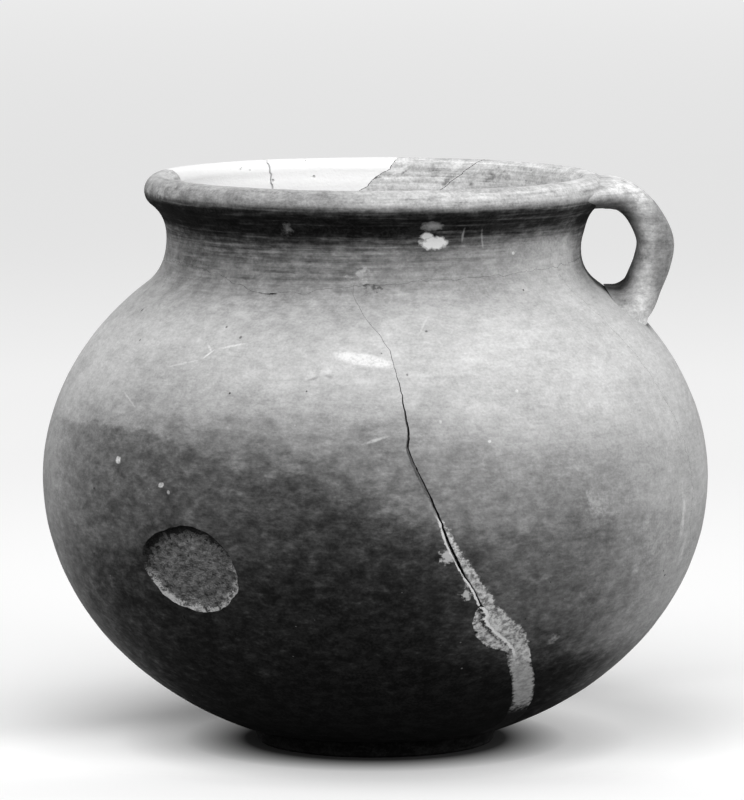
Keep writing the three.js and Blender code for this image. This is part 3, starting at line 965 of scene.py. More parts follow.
def between(value, low, high, bottom=0.0, top=1.0, ease="SMOOTHSTEP"):
    """Value carried from one range to another, and held at its ends."""
    made = node(value.tree, "MapRange", {
        "Value": value, "From Min": low, "From Max": high, "To Min": bottom, "To Max": top},
        interpolation_type=ease)
    return Flow(made.outputs["Result"])


def drawn(value, table, handles="AUTO_CLAMPED"):
    """A curve drawn through (place, height) points over a value, held flat past its ends."""
    low, high = table[0][0], table[-1][0]
    tallest = max(height for _, height in table)
    curve = node(value.tree, "FloatCurve", {"Value": between(value, low, high, ease="LINEAR")})
    points = curve.mapping.curves[0].points
    for i, (at, height) in enumerate(table):
        share = ((at - low) / (high - low), height / tallest)
        spot = points[i] if i < 2 else points.new(*share)
        spot.location = share
        spot.handle_type = handles
    curve.mapping.update()
    return Flow(curve.outputs["Value"]) * tallest


def blended(mask, under, over):
    """One colour laid over another through a mask."""
    made = node(mask.tree, "Mix", data_type="RGBA")
    factor, first, second = made.inputs[0], made.inputs[6], made.inputs[7]
    plug(mask, factor)
    for colour, socket in ((under, first), (over, second)):
        plug(colour if isinstance(colour, Flow) else (*colour, 1), socket)
    return Flow(made.outputs[2])


def clouded(position, sizes, detail, rough, shift=0.0):
    """Soft noise with its own size along each axis, a level of detail, a roughness and a shift of its own."""
    stretched = node(position.tree, "Mapping", {
        "Vector": position, "Location": (shift, shift * 0.7, shift * 1.3),
        "Scale": tuple(1 / size for size in sizes)})
    made = node(position.tree, "TexNoise", {
        "Vector": Flow(stretched.outputs["Vector"]), "Scale": 1.0, "Detail": detail, "Roughness": rough})
    return Flow(made.outputs["Fac"])


def shader_group(name, takes):
    """A shader group and its named inputs: a place is marked as a vector, a number has its start value."""
    tree = bpy.data.node_groups.new(name, "ShaderNodeTree")
    for label, start in takes.items():
        form = "NodeSocketVector" if start == "vector" else "NodeSocketFloat"
        socket = tree.interface.new_socket(label, in_out="INPUT", socket_type=form)
        if start != "vector":
            socket.default_value = start
    return tree, {socket.name: Flow(socket) for socket in tree.nodes.new("NodeGroupInput").outputs}


def give(tree, results):
    """Names what a shader group puts out, and links it."""
    for label, value in results.items():
        form = "NodeSocketVector" if value.socket.type == "VECTOR" else "NodeSocketFloat"
        tree.interface.new_socket(label, in_out="OUTPUT", socket_type=form)
    leave = tree.nodes.new("NodeGroupOutput").inputs
    for label, value in results.items():
        plug(value, leave[label])


def placed(tree, name, inputs=None):
    """What a shader group puts out, once it is set into a material with its own values."""
    made = node(tree, "Group", inputs, node_tree=bpy.data.node_groups[name])
    return {socket.name: Flow(socket) for socket in made.outputs}


def flecks(place, spacing, share, size):
    """Specks or pits over a piece, as a mask."""
    position = place["Position"]
    return placed(position.tree, "Flecks", {
        "Position": position, "Spacing": spacing, "Share": share, "Size": size})["Mask"]


# Heights at which the middle of the wall is found, to tell its outside from its inside.
WALL_HEIGHTS = (
    4.7, 5.6, 7, 10, 15, 22, 32, 45, 60, 80, 100, 115, 125, 132, 138, 142, 147, 153, 158, 162, 166, 170)
FLOOR_MIDDLE = 4.4


def make_place_group(pot):
    """Where a point lies: its side, height and radius, and whether it is on the outside of the wall."""
    tree, _ = shader_group("Place on the Pot", {})
    position = scaled(Flow(node(tree, "TexCoord").outputs["Object"]), 1 / MM)
    across, deep, height = parted(position)
    radius = length_of(Flow(node(tree, "CombineXYZ", {"X": across, "Y": deep}).outputs[0]))
    outer, inner = outside_line(pot, 2 * MM), inside_line(pot, 2 * MM)[::-1]
    middle = [(0, 0), (FLOOR_MIDDLE, 0)]
    middle += [(h, (radius_at(outer, h * MM) + radius_at(inner, h * MM)) / 2 / MM) for h in WALL_HEIGHTS]
    give(tree, {
        "Angle": maths("DEGREES", maths("ARCTAN2", deep, across)), "Height": height, "Radius": radius,
        "Position": position, "Outside": between(radius - drawn(height, middle, "VECTOR"), -0.6, 0.6)})


def make_wheel_group():
    """Short level strokes of the wiping hand, and long level lines of the wheel, both about nothing."""
    tree, enter = shader_group("Wheel Marks", {"Position": "vector", "Spacing": 1.0})
    at = scaled(enter["Position"], 1.0 / enter["Spacing"])
    wiped = clouded(at, (3.2, 3.2, 0.75), detail=2, rough=0.65, shift=4)
    turned = clouded(at, (26, 26, 1.0), detail=3, rough=0.6)
    give(tree, {"Wiped": wiped - 0.5, "Turned": turned - 0.5, "Relief": wiped * 0.6 + turned * 0.5})


def make_grain_group():
    """The uneven tone and fine grit of the clay or plaster itself."""
    tree, enter = shader_group("Grain", {"Position": "vector", "Size": 1.0, "Seed": 0.0})
    at = moved(scaled(enter["Position"], 1.0 / enter["Size"]), enter["Seed"])
    cloud = clouded(at, (22, 22, 14), detail=3, rough=0.55)
    patch = clouded(at, (4.2, 4.2, 2.6), detail=3, rough=0.6, shift=3)
    grit = clouded(at, (0.8, 0.8, 0.7), detail=2, rough=0.65, shift=7)
    give(tree, {"Cloud": cloud, "Tone": patch * 0.5 + grit * 0.5, "Relief": patch * 0.4 + grit * 0.6})


def make_fleck_group():
    """Scattered round pits or specks: how far apart, how many and how large."""
    tree, enter = shader_group("Flecks", {
        "Position": "vector", "Spacing": 5.0, "Share": 0.3, "Size": 0.5})
    close = 1.0 / enter["Spacing"]
    at = scaled(enter["Position"], close)
    cells = node(tree, "TexVoronoi", {"Vector": at, "Scale": 1.0}, feature="F1")
    chance = node(tree, "SeparateColor", {"Color": Flow(cells.outputs["Color"])}).outputs
    there = maths("LESS_THAN", Flow(chance["Red"]), enter["Share"])
    reach = between(Flow(chance["Green"]), 0, 1, 0.4, 1.0, "LINEAR") * enter["Size"] * close
    inside = 1.0 - Flow(cells.outputs["Distance"]) / reach
    give(tree, {"Mask": there * between(inside, 0.0, 0.5)})


def make_mark_group():
    """One soft or ragged patch: inside a unit ball round the origin of the place it is given."""
    tree, enter = shader_group("Mark", {
        "Place": "vector", "Torn": 0.0, "Raggedness": 0.5, "Softness": 0.3, "Strength": 1.0})
    reach = 1.0 + enter["Torn"] * enter["Raggedness"]
    depth = maths("DIVIDE", reach - length_of(enter["Place"]), enter["Softness"], clamp=True)
    give(tree, {"Mask": depth * enter["Strength"]})


# How the soot lies, by side in degrees and by height in millimetres. The cloud of smoke and the low soot each
# have a thickness by side and one by height. The edge is the line that the hottest smoke stopped at. Under
# the lip, in the throat by the handle, at the strap's foot and on the pot's foot, painted shade is added to
# the soot.
SMOKE_BY_SIDE = [
    (-180, 0.25), (-165, 0.28), (-157, 0.42), (-147, 0.7), (-135, 1.08), (-125, 1.25), (-115, 1.25),
    (-105, 1.1), (-95, 1.0), (-85, 0.8), (-75, 0.42), (-65, 0.24), (-55, 0.1), (-45, 0.03), (-20, 0),
    (30, 0.1), (60, 0.5), (95, 1.0), (125, 1.1), (150, 0.7), (168, 0.32), (180, 0.25)]
SMOKE_BY_HEIGHT = [
    (0, 1.8), (15, 1.8), (28, 1.7), (40, 2.3), (48, 2.3), (56, 2.0), (64, 1.5), (72, 0.95), (80, 0.87),
    (90, 0.85), (98, 0.78), (104, 0.6), (112, 0.34), (120, 0.16), (128, 0.13), (140, 0.16), (171, 0.16)]
LOW_BY_SIDE = [
    (-180, 0.15), (-165, 0.08), (-155, 0.3), (-145, 0.78), (-135, 1.15), (-125, 1.72), (-115, 1.8),
    (-105, 1.72), (-95, 1.8), (-85, 2.2), (-75, 2.7), (-65, 3.1), (-55, 3.3), (-45, 2.45), (-35, 1.5),
    (-25, 0.85), (-10, 0.5), (20, 0.7), (50, 1.6), (80, 2.1), (115, 1.8), (145, 1.3), (165, 0.6), (180, 0.15)]
LOW_BY_HEIGHT = [
    (0, 2.0), (22, 1.7), (28, 1.5), (34, 1.0), (40, 0.58), (48, 0.4), (56, 0.37), (64, 0.36), (72, 0.36),
    (80, 0.25), (88, 0.19), (96, 0.13), (104, 0.05), (112, 0), (171, 0)]
EDGE_BY_SIDE = [
    (-180, 0), (-165, 0.15), (-158, 0.38), (-150, 0.45), (-142, 0.55), (-125, 0.5), (-115, 0.62), (-105, 1.0),
    (-95, 1.35), (-85, 1.45), (-78, 1.2), (-70, 0.4), (-60, 0), (60, 0), (90, 0.5), (140, 0.6), (165, 0.2),
    (180, 0)]
EDGE_HEIGHT = [
    (-180, 98), (-160, 100.5), (-145.6, 101.7), (-135.7, 101.8), (-127.2, 100.1), (-116.8, 95.6),
    (-109.4, 93.4), (-102.5, 91), (-95.8, 85.6), (-89.3, 79.9), (-82.7, 74.1), (-70, 68), (-30, 60), (30, 64),
    (90, 82), (130, 97), (160, 93), (180, 98)]
# From -30 degrees to the handle, the neck's soot rises as painted shade in the throat beside the handle.
NECK_BY_SIDE = [
    (-180, 0.4), (-160, 0.8), (-145, 1.05), (-120, 1.05), (-95, 0.9), (-80, 0.75), (-62, 0.6), (-50, 0.4),
    (-40, 0.2), (-30, 0.12), (-20, 0.6), (-10, 0.9), (20, 0.8), (60, 0.7), (110, 0.9), (150, 0.7), (180, 0.4)]
NECK_BY_HEIGHT = [
    (0, 0), (124, 0), (132, 0.12), (136, 0.26), (140, 0.5), (144, 0.82), (148, 1.0), (152, 1.25), (156, 1.7),
    (160, 3.2), (163, 2.6), (164.5, 1.3), (166, 0.3), (167, 0), (171, 0)]
# Soot on the foot, deepened by painted contact shade where it stands on the floor.
FOOT_SOOT_AND_SHADE = [(0, 3.2), (6, 3.0), (12, 1.6), (20, 0.3), (26, 0), (171, 0)]
# Soot under the lip, with painted shade in the lip's overhang.
SOOT_AND_SHADE_UNDER_LIP = [
    (0, 0), (151, 0), (154.5, 0.5), (157.5, 1.2), (160.5, 2.2), (163, 2.3), (164.6, 1.0), (166, 0.3),
    (167.4, 0), (171, 0)]
LIP_BY_SIDE = [(-180, 0.5), (-165, 1), (-104, 1), (-94, 0.25), (-40, 0.1), (0, 0), (60, 0.4), (180, 0.5)]
LIP_BY_HEIGHT = [(0, 0), (164, 0), (166, 0.55), (168, 0.5), (170, 0.25), (171, 0.15)]
# Soot with painted shade under the handle, in the throat beside the strap and on the inner face of its foot:
# by side and by height.
SOOT_AND_SHADE_BY_HANDLE_SIDE = [
    (-180, 0), (-14, 0), (-10, 0.1), (-7, 0.5), (-4.5, 1.2), (4.5, 1.2), (7, 0.5), (14, 0), (180, 0)]
SOOT_AND_SHADE_BY_HANDLE_HEIGHT = [
    (0, 0), (123, 0), (126, 1.0), (130, 1.6), (148, 1.6), (155, 1.1), (160, 0.6), (164, 0.1), (167, 0),
    (171, 0)]


# How far the cloud's edge wavers up and down and the hot edge is torn, between which sides the hot edge turns
# soft, and how strongly the wheel's lines streak the neck.
SOOT_WAVER = 15.0
EDGE_TEAR = 5.0
EDGE_BLURS = (-126, -104)
NECK_STREAKS = 2.8


def make_soot_group():
    """How much of the clay the soot and painted shade hide, from the fire's side up to the underside of the
    lip.
    """
    tree, enter = shader_group("Soot", {
        "Angle": 0.0, "Height": 0.0, "Position": "vector", "Streak": 0.0, "Amount": 1.0})
    angle, height, position = enter["Angle"], enter["Height"], enter["Position"]
    drift = clouded(position, (26, 26, 13), detail=3, rough=0.55, shift=2)
    ragged = clouded(position, (5, 5, 3.4), detail=3, rough=0.6, shift=5)
    flakes = clouded(position, (2.4, 2.4, 1.1), detail=2, rough=0.6, shift=8)
    wavering = height + (drift - 0.5) * SOOT_WAVER
    smoke = drawn(angle, SMOKE_BY_SIDE) * drawn(wavering, SMOKE_BY_HEIGHT)
    low = drawn(angle, LOW_BY_SIDE) * drawn(wavering, LOW_BY_HEIGHT)
    under = drawn(angle, EDGE_HEIGHT) - height + (ragged - 0.5) * EDGE_TEAR
    blurred = between(angle, *EDGE_BLURS)
    step = between(under, -0.9, 1.3) * (1.0 - blurred) + between(under, -11.0, 9.0) * blurred
    edge = drawn(angle, EDGE_BY_SIDE) * step
    neck = drawn(angle, NECK_BY_SIDE) * drawn(height, NECK_BY_HEIGHT) + drawn(height, SOOT_AND_SHADE_UNDER_LIP)
    neck += drawn(angle, LIP_BY_SIDE) * drawn(height, LIP_BY_HEIGHT)
    neck *= 1.0 + enter["Streak"] * NECK_STREAKS
    soot_and_shade_by_handle = drawn(angle, SOOT_AND_SHADE_BY_HANDLE_SIDE) * drawn(height, SOOT_AND_SHADE_BY_HANDLE_HEIGHT)
    total = smoke + low + edge + neck + soot_and_shade_by_handle + drawn(height, FOOT_SOOT_AND_SHADE)
    patchy = larger(ragged * 1.4 + flakes * 0.8 - 0.1, 0.1)
    bare = maths("EXPONENT", total * patchy * enter["Amount"] * -1.0)
    give(tree, {"Cover": maths("SUBTRACT", 1.0, bare, clamp=True)})


def make_crack_group():
    """How far a point lies east of the front crack's line, and how torn the crack's edges are there."""
    tree, enter = shader_group("Beside the Crack", {
        "Angle": 0.0, "Height": 0.0, "Radius": 0.0, "Position": "vector"})
    line = drawn(enter["Height"], sorted((row[1], row[0] + 180) for row in FRONT_CRACK), "VECTOR")
    east = (enter["Angle"] + 180.0 - line) * math.radians(1) * enter["Radius"]
    torn = clouded(enter["Position"], (1.7, 1.7, 1.4), detail=3, rough=0.7, shift=1) - 0.5
    give(tree, {"East": east, "Torn": torn})


def beside_crack(place):
    return placed(place["Position"].tree, "Beside the Crack", {
        label: place[label] for label in ("Angle", "Height", "Radius", "Position")})


# Plaster beside the crack, by height: how thick the thin line on its west lies, and how far the film on its
# east reaches.
RESIDUE_LINE = [(0, 0), (46, 0), (50, 0.95), (66, 0.9), (75, 0.8), (80, 0.6), (82.8, 0), (171, 0)]
RESIDUE_REACH = [
    (0, 0.8), (37, 2.0), (40, 4.6), (44, 6.3), (48, 6.2), (52, 5.4), (56, 4.8), (63, 4.4), (70, 3.2),
    (78, 1.8), (84, 0), (171, 0)]


def crack_residue(place):
    """Plaster smeared beside the crack: a thin broken line on its west and a ragged film on its east."""
    crack = beside_crack(place)
    east, torn = crack["East"], crack["Torn"]
    line = east + torn * 1.8
    thin = between(line, -1.15, -0.8) * between(line, -0.3, 0.1, 1.0, 0.0)
    thin *= drawn(place["Height"], RESIDUE_LINE)
    reach = drawn(place["Height"], RESIDUE_REACH) + torn * 5.0
    film = between(east, 0.1, 0.5) * between(reach - east, 0.2, 1.6)
    film *= between(torn, -0.14, 0.16, 0.12, 0.8)
    return larger(thin, film)


# Marks on the skin: (side, height, half width, half height, tilt, strength, raggedness, softness).
PALE_MARKS = [
    (-92.3, 123.9, 11.0, 1.9, -9, 1.0, 0.1, 0.35), (-102.3, 119.8, 2.4, 1.6, 20, 0.4, 0.3, 0.8),
    (-99.4, 120.6, 2.3, 1.5, 20, 0.45, 0.3, 0.8), (-79.4, 132.7, 4.9, 0.4, 52, 0.35, 0.2, 0.7),
    (-130.5, 120.8, 6.2, 0.4, 13.6, 0.45, 0.2, 0.6), (-125.3, 123.8, 2.1, 0.4, 44, 0.9, 0.2, 0.6),
    (-120.5, 126.4, 5.2, 0.4, 13, 0.7, 0.2, 0.6), (-125.7, 125.5, 2.2, 0.4, -36, 0.7, 0.2, 0.6),
    (-140.5, 109.6, 5.4, 0.35, -26, 0.35, 0.2, 0.6), (-90.2, 102.1, 4.3, 0.5, 17, 0.45, 0.2, 0.7),
    (-139.2, 92.6, 1.2, 1.1, 0, 0.95, 0.3, 0.4), (-128.4, 87.1, 1.1, 0.8, 30, 0.7, 0.4, 0.4),
    (-126.7, 85.2, 0.7, 0.7, 0, 0.5, 0.4, 0.4), (-70.2, 101.2, 0.6, 0.5, 0, 0.8, 0.3, 0.4),
    (-63.2, 114.6, 0.6, 0.5, 0, 0.8, 0.3, 0.4), (-78.7, 107.1, 0.6, 0.6, 0, 0.6, 0.3, 0.4),
    (-54.2, 41.3, 1.9, 2.0, 0, 0.45, 0.5, 1.0), (-50.0, 81.3, 5.0, 5.2, 0, 0.3, 0.7, 0.9),
    (-38.4, 60.1, 1.8, 2.6, 0, 0.45, 0.5, 1.0), (-34.0, 66.0, 9.0, 6.0, 20, 0.16, 0.9, 0.9),
    (-24.5, 74.0, 1.8, 9.0, 8, 0.7, 0.5, 0.9), (-21.5, 62.0, 2.2, 6.0, 8, 0.6, 0.5, 0.9),
    (-50.0, 151.2, 0.5, 0.5, 0, 0.8, 0.3, 0.3), (-22.5, 138.0, 13.0, 7.5, 0, 0.35, 0.5, 1.0),
    (-113.4, 159.0, 2.0, 2.4, 0, 0.25, 0.5, 1.0), (-93.7, 145.6, 2.8, 1.9, 0, 0.28, 1.5, 1.0),
    (-60.5, 155.5, 0.4, 3.6, 14, 0.25, 0.3, 0.6), (-66.5, 157.5, 0.4, 2.6, 0, 0.25, 0.3, 0.6),
    (-157.0, 167.3, 5.0, 1.8, 0, 0.4, 0.9, 0.9), (-168.0, 167.6, 3.0, 1.6, 0, 0.4, 0.9, 0.9),
]
PLASTER_MARKS = [
    (-78.2, 69.2, 2.1, 2.3, 0, 0.55, 0.9, 0.6), (-74.3, 57.6, 1.6, 2.4, 0, 0.6, 0.9, 0.6),
    (-74.3, 155.3, 4.4, 2.2, 0, 0.95, 0.2, 0.3), (-76.4, 157.4, 2.0, 1.2, 0, 0.85, 0.3, 0.4),
    (-75.4, 160.4, 3.8, 1.8, 0, 0.35, 0.3, 0.7),
]
DARK_MARKS = [
    (-118.0, 140.7, 3.6, 0.55, 0, 1.0, 0.35, 0.4), (-110.4, 141.8, 2.6, 0.5, 0, 0.95, 0.35, 0.4),
    (-156.7, 132.7, 0.7, 0.6, 0, 0.75, 0.3, 0.6), (-124.2, 131.2, 0.5, 0.45, 0, 0.75, 0.3, 0.6),
    (-119.5, 128.8, 0.5, 0.45, 0, 0.65, 0.3, 0.6), (-147.1, 125.4, 0.45, 0.45, 0, 0.65, 0.3, 0.6),
    (-79.0, 131.2, 0.6, 0.4, 0, 0.65, 0.3, 0.6), (-84.0, 119.8, 0.45, 0.45, 0, 0.55, 0.3, 0.6),
    (-101.8, 118.6, 2.0, 0.5, 18, 0.3, 0.4, 0.8), (-98.9, 119.4, 2.0, 0.5, -16, 0.3, 0.4, 0.8),
    (-91.5, 143.9, 3.4, 1.9, 0, 0.6, 1.7, 0.9), (-171, 164.5, 2.4, 1.3, 20, 0.7, 0.9, 0.6),
    (-166, 162.6, 2.0, 1.0, 0, 0.7, 0.9, 0.6), (-177, 166.5, 1.6, 1.0, 0, 0.6, 0.9, 0.6),
]
# Marks on the inside of the rim, at its back.
INNER_PALE_MARKS = [
    (65.5, 168.4, 2.6, 1.6, -35, 1.0, 0.4, 0.4), (83.0, 166.9, 4.4, 0.6, -32, 1.0, 0.3, 0.5),
]
INNER_DARK_MARKS = [
    (67.6, 164.6, 3.6, 1.1, -40, 0.75, 0.5, 0.8), (59.8, 163.3, 1.4, 1.0, 0, 0.6, 0.6, 0.8),
    (52.5, 166.4, 6.5, 2.4, 0, 0.45, 0.9, 1.0), (90.0, 164.7, 2.2, 0.5, -10, 0.75, 0.6, 0.7),
    (82.2, 166.0, 3.6, 0.45, -32, 0.75, 0.5, 0.7), (74.0, 167.5, 5.0, 1.6, 0, 0.25, 0.9, 1.0),
]
# How far a mark reaches through the skin each way. One on the inside is placed by the outside's line too.
MARK_DEPTH = 6.0
INNER_MARK_DEPTH = 20.0
RIM_HEIGHT = 145


def sherd_at(angle, height):
    """Which of the marked sherds a spot on the front lies on."""
    if height > RIM_HEIGHT:
        return "rim"
    return "west" if angle < blend(height, FRONT_CRACK, 0, 1) else "east"


def patch_space(position, centre, turn, tilt, sizes):
    """Places measured from the centre of a patch on the skin, with its reach as one."""
    made = node(position.tree, "Mapping", {
        "Vector": position, "Location": tuple(centre), "Scale": sizes,
        "Rotation": (math.radians(tilt), 0, math.radians(turn))}, vector_type="TEXTURE")
    return Flow(made.outputs["Vector"])


def gathered(position, line, torn, table, sherd, deep=MARK_DEPTH):
    """The marks of a table that lie on one sherd, as one mask."""
    total = 0.0
    for angle, height, across, up, tilt, strength, ragged, soft in table:
        if sherd_at(angle, height) != sherd:
            continue
        radius = radius_at(line, height * MM) / MM
        centre = (radius * math.cos(math.radians(angle)), radius * math.sin(math.radians(angle)), height)
        mark = placed(position.tree, "Mark", {
            "Place": patch_space(position, centre, angle, tilt, (deep, across, up)),
            "Torn": torn, "Raggedness": ragged, "Softness": soft, "Strength": strength})
        total = larger(total, mark["Mask"])
    return total


def marked(place, grain, pot, colours, sherd, colour):
    """A sherd's colour with its marks laid over it: rubs and scratches, plaster and stains."""
    position, outside = place["Position"], place["Outside"]
    line = outside_line(pot, 2 * MM)
    torn = (clouded(position, (2.2, 2.2, 2.0), detail=3, rough=0.6, shift=3) - 0.5) * 5.0
    pale, white, dark = (
        gathered(position, line, torn, table, sherd) for table in (PALE_MARKS, PLASTER_MARKS, DARK_MARKS))
    if sherd != "rim":
        white = larger(crack_residue(place), white)
    pale, white, dark = (mask * outside for mask in (pale, white, dark))
    if sherd == "rim":
        pale, dark = (
            larger(mask, gathered(position, line, torn, table, sherd, INNER_MARK_DEPTH) * (1.0 - outside))
            for mask, table in ((pale, INNER_PALE_MARKS), (dark, INNER_DARK_MARKS)))
    colour = blended(pale * between(grain["Tone"], 0.36, 0.58, 0.45, 1.0), colour, colours.pale_clay)
    colour = blended(white * 0.9, colour, colours.plaster)
    return blended(dark, colour, colours.soot)


def new_material(name, specular):
    """A material's shader, with the constant values set on it."""
    material = bpy.data.materials.new(name)
    material.use_nodes = True
    shader = material.node_tree.nodes["Principled BSDF"]
    shader.inputs["Specular IOR Level"].default_value = specular
    return material, shader


def finish(shader, colour, grain, roughness, relief):
    """Links a surface's colour, its roughness from the darkest grain to the lightest, and its relief."""
    bump = node(shader.id_data, "Bump", {"Height": relief, "Distance": MM, "Strength": 1.0})
    plug(colour, shader.inputs["Base Color"])
    plug(between(grain["Tone"], 0.3, 0.7, *roughness, "LINEAR"), shader.inputs["Roughness"])
    plug(Flow(bump.outputs["Normal"]), shader.inputs["Normal"])


# How strongly the wheel's lines and the grain show in the clay by height, and how light its inside is.
LINED_BY_HEIGHT = [(0, 0.2), (128, 0.2), (146, 0.75), (160, 0.75), (165, 1.5), (171, 1.5)]
MOTTLED_BY_HEIGHT = [(0, 1.1), (128, 1.1), (150, 1.4), (165, 2.0), (171, 2.0)]
HANDLE_MOTTLED = 1.5
LIGHT_WITHIN = [(0, 0.4), (40, 0.5), (90, 0.72), (140, 0.88), (158, 1.0), (171, 1.05)]
# How light the strap is painted by height, before its edges are shaded: painted light at its foot and top,
# painted shade along its middle.
HANDLE_PAINTED_LIGHT_AND_SHADE = [
    (0, 1), (108, 1.4), (116, 1.7), (123, 1.6), (130, 1.2), (138, 0.82), (150, 0.8), (160, 0.95), (167, 1.25),
    (171, 1.4)]
# Pits, specks and dust on the clay: (spacing, share of places that have one, size).
CLAY_PITS = (7.0, 0.35, 0.5)
CLAY_SPECKS = (4.3, 0.2, 0.45)
CLAY_DUST = (6.0, 0.3, 0.42)


def handle_soot(place):
    """Soot creeps only a little way out along the strap."""
    return between(place["Radius"], 73, 78, 0.9, 0) * between(place["Height"], 155, 160, 1.0, 0.3)


def handle_mottle_and_painted_light(place):
    """How light the strap is: painted light at its foot and top, painted shade on its inner and outer edges,
    and mottled.
    """
    radius, height = place["Radius"], place["Height"]
    # Painted shade on the strap's inner and outer edges, left off at its top and its foot.
    painted_edge_shade = between(radius, 77, 80, 0.78, 1.0) * between(radius, 81.5, 85, 1.0, 0.62)
    painted_edge_shade = larger(larger(painted_edge_shade, between(height, 158, 165)), between(height, 134, 124))
    patch = clouded(place["Position"], (5, 5, 4), detail=5, rough=0.75, shift=2)
    patch = between(patch, 0.3, 0.7, 0.6, 1.4, "LINEAR")
    return 1.0 + (drawn(height, HANDLE_PAINTED_LIGHT_AND_SHADE) * painted_edge_shade * patch - 1.0) * between(radius, 68, 74)


def fired_clay(name, pot, colours, soot=1.0, sherd="", seed=0.0, handle=False):
    """Wheel-thrown clay, sooted outside and darker towards the floor within, with the marks of one sherd."""
    material, shader = new_material(name, specular=0.07)
    place = placed(material.node_tree, "Place on the Pot")
    position, height, outside = place["Position"], place["Height"], place["Outside"]
    grain = placed(material.node_tree, "Grain", {"Position": position, "Seed": seed})
    wheel = placed(material.node_tree, "Wheel Marks", {"Position": position, "Spacing": 0.9})
    pits, specks, dust = (flecks(place, *form) for form in (CLAY_PITS, CLAY_SPECKS, CLAY_DUST))

    mottled = HANDLE_MOTTLED if handle else drawn(height, MOTTLED_BY_HEIGHT)
    shade = 0.75 + grain["Cloud"] * 0.5 + (grain["Tone"] - 0.5) * mottled
    shade += wheel["Wiped"] * 0.3 + wheel["Turned"] * drawn(height, LINED_BY_HEIGHT)
    shade = larger(shade, 0.1)
    if handle:
        shade *= handle_mottle_and_painted_light(place)
    else:
        within = drawn(height, LIGHT_WITHIN)
        shade *= within - (within - 1.0) * outside
    colour = blended(specks * 0.35, scaled(colours.clay, shade), colours.pale_clay)

    cover = placed(material.node_tree, "Soot", {
        "Angle": place["Angle"], "Height": height, "Position": position, "Streak": wheel["Turned"],
        "Amount": handle_soot(place) if handle else soot})["Cover"]
    cover *= between(grain["Tone"], 0.42, 0.6, 1.0, 0.982) * outside
    colour = blended(cover, colour, colours.soot)
    if sherd:
        colour = marked(place, grain, pot, colours, sherd, colour)
    colour = blended(pits * 0.75, colour, colours.soot)
    colour = blended(dust * outside * 0.22, colour, colours.pale_clay)
    relief = grain["Relief"] * 0.16 + wheel["Relief"] * 0.06 + pits * -0.3
    finish(shader, colour, grain, roughness=(0.72, 0.95), relief=relief)


def broken_clay(name, colours):
    """The coarse grey core that shows where the clay has split or flaked, darkened as painted shade in the
    narrow breaks.
    """
    material, shader = new_material(name, specular=0.12)
    place = placed(material.node_tree, "Place on the Pot")
    grain = placed(material.node_tree, "Grain", {"Position": place["Position"], "Size": 0.8, "Seed": 6.0})
    grit = flecks(place, spacing=1.5, share=0.5, size=0.6)
    holes = flecks(place, spacing=2.3, share=0.5, size=0.9)
    # The core's colour is kept very dark, as painted shade inside the narrow breaks.
    colour = scaled(colours.broken_clay, grain["Tone"] * 0.5 + grain["Cloud"] * 0.2)
    colour = blended(grit * 0.3, colour, colours.pale_clay)
    colour = blended(holes * 0.6, colour, colours.soot)
    relief = grain["Relief"] * 0.9 + grit * 0.25 + holes * -0.5
    finish(shader, colour, grain, roughness=(0.8, 1.0), relief=relief)


# The flake's half width, half height and tilt, and where the painted light on its lower rim and the painted
# shadow under its upper rim lie, as shares of its reach: (east, up).
FLAKE_SIZE = (17.5, 13.7)
FLAKE_TILT = -12.0
FLAKE_PAINTED_LIGHT = (-0.06, 0.15)
FLAKE_PAINTED_SHADOW = (0.07, -0.12)
# So deep that only the way across the skin counts.
FLAKE_DEPTH = 1000.0


def flaked_clay(name, pot, colours):
    """The flake's rough floor, with painted shadow along its steep upper rim and painted light where it thins
    below.
    """
    material, shader = new_material(name, specular=0.1)
    place = placed(material.node_tree, "Place on the Pot")
    grain = placed(material.node_tree, "Grain", {"Position": place["Position"], "Size": 0.7, "Seed": 6.0})
    coarse = clouded(place["Position"], (2.2, 2.2, 1.5), detail=3, rough=0.7, shift=5)
    holes = flecks(place, spacing=3.4, share=0.35, size=0.6)
    shade = larger(grain["Tone"] * 2.2 + coarse * 3.0 - 1.75, 0.15)
    colour = blended(holes * 0.7, scaled(colours.broken_clay, shade), colours.soot)
    centre = skin_point(pot, SPALL_ANGLE, SPALL_HEIGHT * MM, 0) / MM
    local = patch_space(place["Position"], centre, SPALL_ANGLE, FLAKE_TILT, (FLAKE_DEPTH, *FLAKE_SIZE))
    torn = (coarse - 0.5) * 0.7
    # First the painted light on the lower rim in the clay's colour, then the painted shadow under the upper
    # rim in soot.
    for (east, up), low, high, thick, tint in (
            (FLAKE_PAINTED_LIGHT, 0.86, 0.97, 0.65, colours.clay), (FLAKE_PAINTED_SHADOW, 0.92, 1.0, 0.9, colours.soot)):
        reach = length_of(moved(local, (0, east, up), "SUBTRACT")) + torn
        colour = blended(between(reach, low, high, 0.0, thick), colour, tint)
    relief = grain["Relief"] * 0.8 + coarse * 1.6 + holes * -0.4
    finish(shader, colour, grain, roughness=(0.8, 1.0), relief=relief)


# How far west of the crack's line the pale ridge along its fill lies, by height.
FILL_RIDGE = [(0, 1.5), (37, 1.5), (41, 1.8), (44, 2.6), (47, 3.2), (50, 1.4), (53, 0.2), (171, 0.2)]


